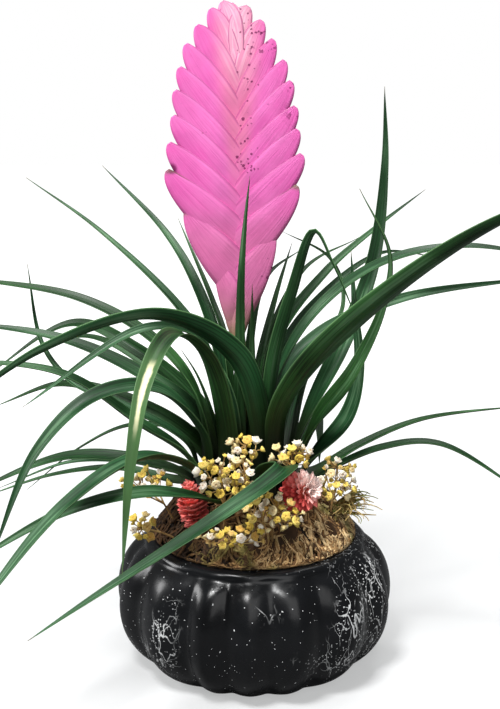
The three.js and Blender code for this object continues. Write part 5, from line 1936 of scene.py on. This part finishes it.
@dataclass(frozen=True)
class LeafFinish(Finish):
    """Waxy dark green blade with fine lengthwise lines, a yellow-green foot, a dry tip, painted sheen and
    painted shade.
    """

    name = "waxy_leaf"
    deep: Colour = shown(12, 34, 15)
    fresh: Colour = shown(46, 90, 40)
    bluish: Colour = shown(34, 76, 44)
    painted_sheen: Colour = shown(124, 162, 124)
    foot: Colour = shown(66, 92, 30)
    painted_shade: Colour = shown(8, 14, 6)
    edge: Colour = shown(104, 142, 92)
    tip: Colour = shown(96, 84, 52)
    scar: Colour = shown(226, 220, 178)
    faded: Colour = shown(86, 122, 74)
    gloss: float = 0.38
    cloud_gloss: float = 0.16
    fine_lines: Pair = (11.0, 5.0)
    broad_lines: Pair = (4.0, 3.0)
    cloud_scale: float = 16.0
    patch_scale: float = 130.0
    line_edges: Step = (0.25, 0.75)
    line_fade: Step = (0.3, 0.7, 0.62, 0.3)
    young_clouds: Step = (0.35, 0.65, 0.0, 0.45)
    # Steps of the painted sheen, a silvery band that stands in for light off the waxy blade:
    sheen_across: Step = (0.3, 0.9, 1.0, 0.2)
    sheen_clouds: Step = (0.44, 0.62, 0.0, 0.36)
    sheen_lines: Step = (0.3, 0.8, 0.1, 1.0)
    sheen_start: Step = (0.25, 0.45)
    edge_band: Step = (0.88, 1.0, 0.0, 0.45)
    foot_fade: Step = (0.06, 0.26, 0.6, 0.0)
    # Painted shade, darkest at the foot of each blade and in the heart of the crown:
    foot_shade_fade: Step = (0.05, 0.17, 0.92, 0.0)
    crown_shade_reach: Step = (0.018, 0.042, 0.92, 0.0)
    crown_shade_height: Step = (0.11, 0.155, 1.0, 0.0)
    tip_start: Step = (0.975, 1.0, 0.0, 0.8)
    faded_start: Step = (0.54, 0.64, 0.0, 0.5)
    scar_start: Step = (0.6, 0.64)
    scar_end: Step = (0.7, 0.77, 1.0, 0.0)
    scar_width: Step = (0.5, 0.8, 1.0, 0.0)
    scar_ragged: float = 0.7
    relief_end: Step = (0.25, 0.5, 1.0, 0.0)
    relief: Pair = (0.08, 0.35)
    drift: Pair = (55.0, 0.25)

    def dress(self, paint: Paint) -> None:
        """Wires the leaf's colours, gloss and relief."""
        across, along, tone, scarred = map(paint.stored, ("across", "along", "tone", "scar"))
        fine = paint.strands(across, along, tone, *self.fine_lines)
        broad = paint.strands(across, along, tone, *self.broad_lines)
        cloud = paint.noise(paint.place, self.cloud_scale)
        off = paint.size(across)
        lined = paint.times(paint.rise(fine, *self.line_edges), paint.rise(along, *self.line_fade))
        young = paint.plus(lined, paint.rise(cloud, *self.young_clouds))
        # Painted sheen: a silvery lighter band down the middle of the blade, in clouds and broad lines,
        # standing in for light off its waxy surface.
        bloom = paint.times(
            paint.rise(off, *self.sheen_across), paint.rise(cloud, *self.sheen_clouds),
            paint.rise(broad, *self.sheen_lines), paint.rise(along, *self.sheen_start),
        )
        # Painted shade in the heart of the crown: near the axis and low down the blades darken.
        reach = paint.length(paint.vector("MULTIPLY", paint.place, LEVEL))
        height = paint.axes(paint.place)["Z"]
        heart = paint.times(paint.rise(reach, *self.crown_shade_reach), paint.rise(height, *self.crown_shade_height))
        patch = paint.noise(paint.place, self.patch_scale, 4.0)
        ragged = paint.plus(off, paint.times(patch, self.scar_ragged))
        length = paint.times(paint.rise(along, *self.scar_start), paint.rise(along, *self.scar_end))
        colour = paint.layered(
            self.deep,
            (young, paint.mix(tone, self.fresh, self.bluish)),
            (bloom, self.painted_sheen),
            (paint.rise(off, *self.edge_band), self.edge),
            (paint.rise(along, *self.foot_fade), self.foot),
            # Painted shade at the foot of each blade and in the heart of the crown.
            (paint.rise(along, *self.foot_shade_fade), self.painted_shade),
            (heart, self.painted_shade),
            (paint.rise(along, *self.tip_start), self.tip),
            (paint.times(paint.rise(along, *self.faded_start), scarred), self.faded),
            (paint.times(paint.rise(ragged, *self.scar_width), length, scarred), self.scar),
        )
        paint.feed(
            Base_Color=paint.drift(colour, *self.drift)["Colour"], Specular_IOR_Level=0.17,
            Roughness=paint.plus(paint.times(cloud, self.cloud_gloss), self.gloss),
            Coat_Weight=0.02, Coat_Roughness=0.22,
        )
        paint.bump(paint.times(fine, paint.rise(along, *self.relief_end)), *self.relief)


@dataclass(frozen=True)
class BractFinish(Finish):
    """Soft pink bract, peach along the middle of the paddle, with darker margins, partly painted shade, and
    dry specks.
    """

    name = "pink_bract"
    pink: Colour = shown(212, 86, 164)
    light: Colour = shown(224, 124, 188)
    peach: Colour = shown(212, 120, 148)
    cream: Colour = shown(240, 190, 206)
    margin_and_shade: Colour = shown(150, 52, 112)
    dusty: Colour = shown(200, 112, 150)
    brown: Colour = shown(104, 66, 58)
    green: Colour = shown(112, 108, 58)
    dry: Colour = shown(110, 104, 74)
    speck: Colour = shown(108, 16, 74)
    axis_x: float = -0.0075
    seam_x: float = -0.003
    seam_width: float = 0.007
    bruise: Point = (-0.0372, -0.001, 0.2362)
    bruise_reach: Step = (0.0012, 0.0032, 0.9, 0.0)
    lines: Pair = (13.0, 1.6)
    cloud_scale: float = 45.0
    blot_scale: float = 330.0
    line_light: float = 0.24
    cloud_light: Step = (0.35, 0.65, 0.0, 0.3)
    inner_light: Step = (0.55, 0.9, 0.0, 0.3)
    paddle_width: Step = (0.225, 0.3, 0.006, 0.016)
    warm_middle: Step = (0.0, 0.8, 0.0, 0.66)
    warm_height: Step = (0.21, 0.255)
    dusty_height: Step = (0.196, 0.232, 0.6, 0.0)
    bright_middle: Step = (0.2, 1.0)
    bright_height: Step = (0.262, 0.295)
    bright_lines: Pair = (0.6, 0.25)
    inner_margin_and_shade: Step = (0.92, 1.0, 0.0, 0.66)
    outer_margin_and_shade: Step = (0.0, 0.1, 0.35, 0.0)
    end_margin_and_shade: Step = (0.94, 1.0, 0.0, 0.5)
    brown_height: Step = (0.231, 0.241, 0.9, 0.0)
    brown_along: Step = (0.62, 0.9)
    brown_across: Step = (0.88, 0.98)
    green_ragged: float = 0.012
    green_height: Step = (0.158, 0.196, 0.95, 0.0)
    dry_along: Step = (0.86, 0.98)
    dry_height: Step = (0.231, 0.241, 0.8, 0.0)
    small_specks: tuple[float, float, float] = (360.0, 0.27, 0.22)
    fine_specks: tuple[float, float, float] = (640.0, 0.32, 0.24)
    corner_x: Step = (-0.006, 0.003)
    corner_height: Step = (0.278, 0.29)
    rim_x: Step = (0.012, 0.017, 0.0, 0.9)
    rim_height: Step = (0.25, 0.258)
    blot_edges: Step = (0.6, 0.66)
    blot_share: float = 0.8
    seam_edge: Step = (0.0, 0.5, 0.0, 0.8)
    seam_height: Step = (0.226, 0.236)
    zone_lift: float = 0.3
    zone_edge: Step = (0.6, 0.7)
    speck_share: float = 0.85
    gloss: float = 0.42
    line_gloss: float = 0.12
    relief: Pair = (0.12, 0.6)
    drift: Pair = (110.0, 0.12)

    def dress(self, paint: Paint) -> None:
        """Wires the bract's colours, gloss and relief."""
        across, along, tone = map(paint.stored, ("across", "along", "tone"))
        at = paint.axes(paint.place)
        lines = paint.strands(across, along, tone, *self.lines)
        cloud = paint.noise(paint.place, self.cloud_scale)
        aside = paint.size(paint.less(at["X"], self.axis_x))
        middle = paint.less(1.0, paint.over(aside, paint.rise(at["Z"], *self.paddle_width)))
        glow, lowest = self.bright_lines
        bright = paint.times(
            paint.rise(middle, *self.bright_middle), paint.rise(at["Z"], *self.bright_height),
            paint.plus(paint.times(lines, glow), lowest),
        )
        browned = paint.times(
            paint.rise(across, *self.brown_across), paint.rise(at["Z"], *self.brown_height),
            paint.rise(along, *self.brown_along),
        )
        bruise = paint.length(paint.vector("SUBTRACT", paint.place, self.bruise))
        foot = paint.plus(at["Z"], paint.times(cloud, self.green_ragged))
        rim = self._both(paint, (at["X"], self.rim_x), (at["Z"], self.rim_height))
        corner = self._both(paint, (at["X"], self.corner_x), (at["Z"], self.corner_height))
        corner = paint.larger(corner, rim)
        blots = paint.rise(paint.noise(paint.place, self.blot_scale, 3.0), *self.blot_edges)
        seam = paint.less(1.0, paint.over(paint.size(paint.less(at["X"], self.seam_x)), self.seam_width))
        seam = self._both(paint, (seam, self.seam_edge), (at["Z"], self.seam_height))
        zone = paint.plus(cloud, paint.times(paint.larger(corner, seam), self.zone_lift))
        specks = paint.larger(paint.specks(*self.small_specks), paint.specks(*self.fine_specks))
        colour = paint.layered(
            self.pink,
            (paint.times(lines, self.line_light), self.light),
            (paint.rise(cloud, *self.cloud_light), self.light),
            (paint.rise(across, *self.inner_light), self.light),
            (self._both(paint, (middle, self.warm_middle), (at["Z"], self.warm_height)), self.peach),
            (paint.rise(at["Z"], *self.dusty_height), self.dusty),
            (bright, self.cream),
            # Darker margins: partly the bract's own edge colour, partly painted shade where one bract
            # overlaps the next.
            (paint.rise(across, *self.inner_margin_and_shade), self.margin_and_shade),
            (paint.rise(across, *self.outer_margin_and_shade), self.margin_and_shade),
            (paint.rise(along, *self.end_margin_and_shade), self.margin_and_shade),
            (browned, self.brown),
            (paint.rise(bruise, *self.bruise_reach), self.speck),
            (paint.rise(foot, *self.green_height), self.green),
            (self._both(paint, (along, self.dry_along), (at["Z"], self.dry_height)), self.dry),
            (paint.times(blots, corner, self.blot_share), self.speck),
            (paint.times(specks, paint.rise(zone, *self.zone_edge), self.speck_share), self.speck),
        )
        paint.feed(
            Base_Color=paint.drift(colour, *self.drift)["Colour"], Specular_IOR_Level=0.35,
            Roughness=paint.plus(paint.times(lines, self.line_gloss), self.gloss),
        )
        paint.bump(lines, *self.relief)

    @staticmethod
    def _both(paint: Paint, *steps: tuple[Socket, Step]) -> Socket:
        """Mask of where all of several steps are up."""
        return paint.times(*(paint.rise(value, *step) for value, step in steps))


@dataclass(frozen=True)
class BowlFinish(Finish):
    """Satin black paint with fine white crackle lines and specks."""

    name = "crackled_black_paint"
    black: Colour = shown(9, 10, 12)
    worn: Colour = shown(24, 26, 29)
    white: Colour = shown(232, 234, 234)
    right_x: Step = (0.018, 0.042, 0.0, 0.24)
    right_end: Step = (0.056, 0.067, 1.0, 0.35)
    left_x: Step = (-0.055, -0.015, 1.0, 0.0)
    left_height: Step = (0.012, 0.034, 0.22, 0.0)
    cloud_scale: float = 34.0
    zone_edge: Step = (0.6, 0.76)
    collar: Step = (0.054, 0.059, 0.8, 0.2)
    slant: Point = (0.0, 0.7, 0.3)
    stretch: Point = (1.0, 1.0, 0.42)
    cracks: tuple[Pair, ...] = ((58.0, 0.0066), (110.0, 0.0095))
    hairs: tuple[Pair, ...] = ((30.0, 0.0045), (52.0, 0.006))
    big_specks: tuple[float, float, float] = (330.0, 0.13, 0.06)
    small_specks: tuple[float, float, float] = (900.0, 0.22, 0.07)
    zone_specks: tuple[float, float, float] = (760.0, 0.29, 0.4)
    crack_bend: Pair = (2.2, 0.45)
    crack_gaps: Step = (0.48, 0.53)
    hair_gaps: Step = (0.42, 0.5)
    crack_gap_scale: float = 1.1
    hair_gap_scale: float = 4.0
    sharpness: float = 0.4
    worn_share: float = 0.35
    gloss: float = 0.16
    dulled: float = 0.2
    grain: Pair = (900.0, 0.3)
    swell: Pair = (150.0, 3.0)
    raised: float = 0.7
    relief: Pair = (0.08, 0.6)
    drift: Pair = (120.0, 0.25)

    def dress(self, paint: Paint) -> None:
        """Wires the bowl's colours, gloss and relief."""
        at = paint.axes(paint.place)
        right = paint.times(paint.rise(at["X"], *self.right_x), paint.rise(at["X"], *self.right_end))
        left = paint.times(paint.rise(at["X"], *self.left_x), paint.rise(at["Z"], *self.left_height))
        cloud = paint.noise(paint.place, self.cloud_scale, 3.0)
        zone = paint.rise(paint.plus(cloud, paint.plus(right, left)), *self.zone_edge)
        turned = {"Vector": paint.place, "Rotation": self.slant, "Scale": self.stretch}
        slant = paint.put("ShaderNodeMapping", at=turned)
        lines = paint.larger(
            *(self._cracks(paint, slant, *sizes) for sizes in self.cracks),
            *(self._hairs(paint, slant, *sizes) for sizes in self.hairs),
        )
        specks = paint.larger(
            paint.specks(*self.big_specks), paint.specks(*self.small_specks),
            paint.times(paint.specks(*self.zone_specks), zone),
        )
        white = paint.larger(paint.times(lines, zone), specks)
        white = paint.times(white, paint.rise(at["Z"], *self.collar))
        worn = paint.mix(paint.times(cloud, self.worn_share), self.black, self.worn)
        colour = paint.drift(worn, *self.drift)
        paint.feed(
            Base_Color=paint.mix(white, colour["Colour"], self.white), Specular_IOR_Level=0.3,
            Roughness=paint.plus(paint.times(paint.plus(cloud, white), self.dulled), self.gloss),
        )
        grain, swell = (
            paint.times(paint.noise(paint.place, scale), high) for scale, high in (self.grain, self.swell)
        )
        paint.bump(paint.plus(grain, paint.times(white, self.raised), swell), *self.relief)

    def _cracks(self, paint: Paint, place: Socket, scale: float, width: float) -> Socket:
        """Branching broken lines of one size, as a mask."""
        finer, far = self.crack_bend
        at = {"Vector": paint.wander(place, scale * finer, 3.0, far / scale), "Scale": scale}
        cells = paint.put("ShaderNodeTexVoronoi", at=at, out="Distance", feature="DISTANCE_TO_EDGE")
        near = paint.rise(cells, width * self.sharpness, width, 1.0, 0.0)
        gaps = paint.noise(place, scale * self.crack_gap_scale)
        return paint.times(near, paint.rise(gaps, *self.crack_gaps))

    def _hairs(self, paint: Paint, place: Socket, scale: float, width: float) -> Socket:
        """Long thin wandering lines, as a mask."""
        off = paint.size(paint.less(paint.noise(place, scale, 3.0, roughness=0.6), 0.5))
        near = paint.rise(off, width * self.sharpness, width, 1.0, 0.0)
        gaps = paint.noise(place, scale * self.hair_gap_scale)
        return paint.times(near, paint.rise(gaps, *self.hair_gaps))


@dataclass(frozen=True)
class FibreFinish(Finish):
    """Dry plant fibre whose colour is drawn for each strand."""

    name: str = "dried_moss"
    stops: tuple[tuple[float, Colour], ...] = (
        (0.0, shown(30, 21, 14)), (0.22, shown(98, 70, 44)), (0.5, shown(164, 128, 82)),
        (0.85, shown(224, 196, 148)),
    )
    green: Colour = shown(96, 102, 48)
    greens: float = 0.0
    green_patches: Step = (0.55, 0.66)
    green_tones: Step = (0.15, 0.45)

    def dress(self, paint: Paint) -> None:
        """Wires the fibre's colours and relief."""
        # On the moss the stored tone also carries painted light and shade.
        tone = paint.stored("tone")
        patch = paint.noise(paint.place, 55.0, 1.0)
        fresh = paint.times(
            paint.rise(patch, *self.green_patches), paint.rise(tone, *self.green_tones), self.greens
        )
        drift = paint.drift(paint.mix(fresh, paint.ramp(tone, self.stops), self.green), 260.0, 0.5)
        paint.feed(Base_Color=drift["Colour"], Roughness=0.85, Specular_IOR_Level=0.25)
        paint.bump(drift["Value"], 0.3, 0.6)


@dataclass(frozen=True)
class FloretFinish(Finish):
    """Dry papery floret, yellow, ochre or cream, with a darker heart; a floret's creases are darkened too, as
    painted shade.
    """

    name: str = "dried_floret"
    stops: tuple[tuple[float, Colour], ...] = (
        (0.0, shown(226, 200, 84)), (0.38, shown(238, 218, 116)), (0.5, shown(204, 166, 84)),
        (0.62, shown(232, 214, 148)), (0.8, shown(240, 228, 190)), (0.9, shown(246, 242, 228)),
    )
    heart: Colour = shown(170, 116, 46)
    depth: float = 0.62

    def dress(self, paint: Paint) -> None:
        """Wires the part's colours and relief."""
        sunk = paint.times(paint.stored("heart"), self.depth)
        colour = paint.mix(sunk, paint.ramp(paint.stored("tone"), self.stops), self.heart)
        drift = paint.drift(colour, 420.0, 0.22)
        paint.feed(Base_Color=drift["Colour"], Roughness=0.8, Specular_IOR_Level=0.3)
        paint.bump(drift["Value"], 0.25, 0.5)


@dataclass(frozen=True)
class EarthFinish(Finish):
    """Crumbly soil, or the woody stem that stands in it."""

    name: str = "dark_soil"
    dark: Colour = shown(30, 22, 16)
    light: Colour = shown(66, 50, 36)
    grain: float = 600.0
    crumb_edges: Step = (0.35, 0.7)
    speck_share: float = 0.4

    def dress(self, paint: Paint) -> None:
        """Wires the soil's colours and relief."""
        crumbs = paint.noise(paint.place, self.grain, 4.0)
        specks = paint.specks(self.grain * 0.7, 0.35, 0.2)
        colour = paint.layered(
            self.dark,
            (paint.rise(crumbs, *self.crumb_edges), self.light),
            (paint.times(specks, self.speck_share), self.light),
        )
        drift = paint.drift(colour, 90.0, 0.4)
        paint.feed(Base_Color=drift["Colour"], Roughness=0.92, Specular_IOR_Level=0.2)
        paint.bump(crumbs, 0.8, 0.8)


@dataclass(frozen=True)
class FloorFinish(Finish):
    """Plain pale table top, which fades into plain white far from the plant."""

    name = "pale_floor"
    white: Colour = (0.36, 0.363, 0.366, 1.0)
    dim: Colour = (0.14, 0.142, 0.145, 1.0)
    lit: Colour = (1.0, 1.0, 1.0, 1.0)
    soft: Colour = (0.42, 0.425, 0.425, 1.0)
    dark: Colour = (0.0, 0.0, 0.0, 1.0)
    fade: Step = (0.16, 0.7)

    def dress(self, paint: Paint) -> None:
        """Wires the floor's colour and its glow."""
        seen = paint.put("ShaderNodeLightPath", out="Is Camera Ray")
        glow = paint.mix(paint.rise(paint.length(paint.place), *self.fade), self.soft, self.lit)
        paint.feed(
            Base_Color=paint.mix(seen, self.dim, paint.drift(self.white, 2.0, 0.01)["Colour"]),
            Roughness=0.6, Specular_IOR_Level=0.1, Emission_Strength=1.0,
            Emission_Color=paint.mix(seen, self.dark, glow),
        )


# Camera, floor and light


@dataclass
class Studio:
    """Pale floor, soft light and the camera at the photograph's viewing angle."""

    camera_at: Point = (-2, -544.5, 280.7)
    looks_at: Point = (-2, 0, 150)
    lens: float = 60.76
    film_height: float = 36.0
    clipping: Pair = (0.01, 20.0)
    floor_size: float = 6.0
    lamps: tuple[tuple[Point, float, float], ...] = (
        ((-260, -520, 1120), 260, 19.5), ((60, 260, 1250), 800, 11.5), ((340, -900, 700), 800, 4.0),
        ((-760, 60, 420), 300, 4.0),
    )
    lit_point: Point = (0, 0, 110)
    sky: float = 0.16

    @staticmethod
    def place(holder: bpy.types.Object, at: Point, target: Point) -> None:
        """Puts a camera or lamp in the scene and turns it to its target."""
        holder.location = Vector(at) * MM
        holder.rotation_euler = (Vector(target) - Vector(at)).to_track_quat("-Z", "Y").to_euler()
        bpy.context.scene.collection.objects.link(holder)

    def build(self, finish: Material) -> None:
        """Sets the floor, the lights, the camera and how colours are shown.

        Args:
            finish: the floor's material.
        """
        camera = bpy.data.objects.new("camera", bpy.data.cameras.new("camera"))
        self.place(camera, self.camera_at, self.looks_at)
        camera.data.sensor_fit = "VERTICAL"
        camera.data.sensor_height = self.film_height
        camera.data.lens = self.lens
        camera.data.clip_start, camera.data.clip_end = self.clipping
        bpy.context.scene.camera = camera
        half = self.floor_size / 2 / MM
        points = np.array([(-half, -half, 0), (half, -half, 0), (half, half, 0), (-half, half, 0)], float)
        floor = bpy.data.objects.new("floor", make_mesh("floor", points, [(0, 1, 2, 3)]))
        floor.data.materials.append(finish)
        bpy.context.scene.collection.objects.link(floor)
        for number, (place, size, power) in enumerate(self.lamps):
            lamp = bpy.data.lights.new(f"softbox_{number}", "AREA")
            lamp.size, lamp.energy = size * MM, power
            self.place(bpy.data.objects.new(lamp.name, lamp), place, self.lit_point)
        world = bpy.data.worlds.new("studio")
        world.use_nodes = True
        wiring = Wiring(world.node_tree)
        seen = wiring.put("ShaderNodeLightPath", out="Is Camera Ray")
        strength = wiring.put("ShaderNodeMapRange", seen, 0.0, 1.0, self.sky, 1.0)
        sky = world.node_tree.nodes["Background"]
        sky.inputs["Color"].default_value = (1, 1, 1, 1)
        wiring.tree.links.new(strength, sky.inputs["Strength"])
        bpy.context.scene.world = world
        bpy.context.scene.view_settings.view_transform = "Standard"


def paint_kept(names: Sequence[str], finish: Material) -> None:
    """Gives solids that stay as they are a better material.

    Args:
        names: the solids.
        finish: their material.
    """
    for name in names:
        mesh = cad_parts[name].data
        mesh.materials.clear()
        mesh.materials.append(finish)
        log.info("%s: kept, with %s", name, finish.name)


def main() -> None:
    """Builds the plant and its bowl."""
    logging.basicConfig(level=logging.INFO, format="%(name)s: %(message)s", stream=sys.stdout)
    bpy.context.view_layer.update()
    groups, growths = SurfaceGroups(), Growths()
    straw = FibreFinish(
        name="dry_straw",
        stops=(
            (0.0, shown(104, 84, 46)), (0.35, shown(150, 126, 74)), (0.65, shown(190, 166, 108)),
            (0.9, shown(118, 122, 58)),
        ),
    )
    petal = FloretFinish(
        name="coral_petal",
        stops=(
            (0.0, shown(214, 74, 72)), (0.25, shown(236, 104, 98)), (0.5, shown(244, 142, 134)),
            (0.8, shown(250, 206, 198)), (1.0, shown(253, 232, 224)),
        ),
        heart=shown(206, 74, 74),
        depth=0.36,
    )
    twig = FibreFinish(
        name="dry_twig",
        stops=((0.0, shown(118, 90, 54)), (0.6, shown(166, 134, 82)), (1.0, shown(190, 164, 108))),
    )
    calyx = FibreFinish(name="calyx", stops=((0.0, shown(150, 60, 50)), (0.5, shown(180, 84, 66))))
    finishes = {
        "leaf": LeafFinish(), "bract": BractFinish(), "bowl": BowlFinish(), "moss": FibreFinish(greens=0.7),
        "straw": straw, "twig": twig, "calyx": calyx, "floret": FloretFinish(), "petal": petal,
        "soil": EarthFinish(),
        "stem": EarthFinish(name="stem_wood", dark=shown(48, 56, 26), light=shown(96, 104, 52), grain=300.0),
        "floor": FloorFinish(),
    }
    made = {key: finish.build(groups) for key, finish in finishes.items()}
    Studio().build(made["floor"])
    RibbedBowl().build(made["bowl"])
    paint_kept(("soil",), made["soil"])
    paint_kept(("plant_stem",), made["stem"])
    MossHeap().build(growths, made["moss"])
    StrawTuft().build(growths, made["straw"])
    Rosette().build(growths, made["leaf"])
    FlowerSpike().build(made["bract"])
    DriedFlowers().build(growths, made)


if __name__ == "__main__":
    main()
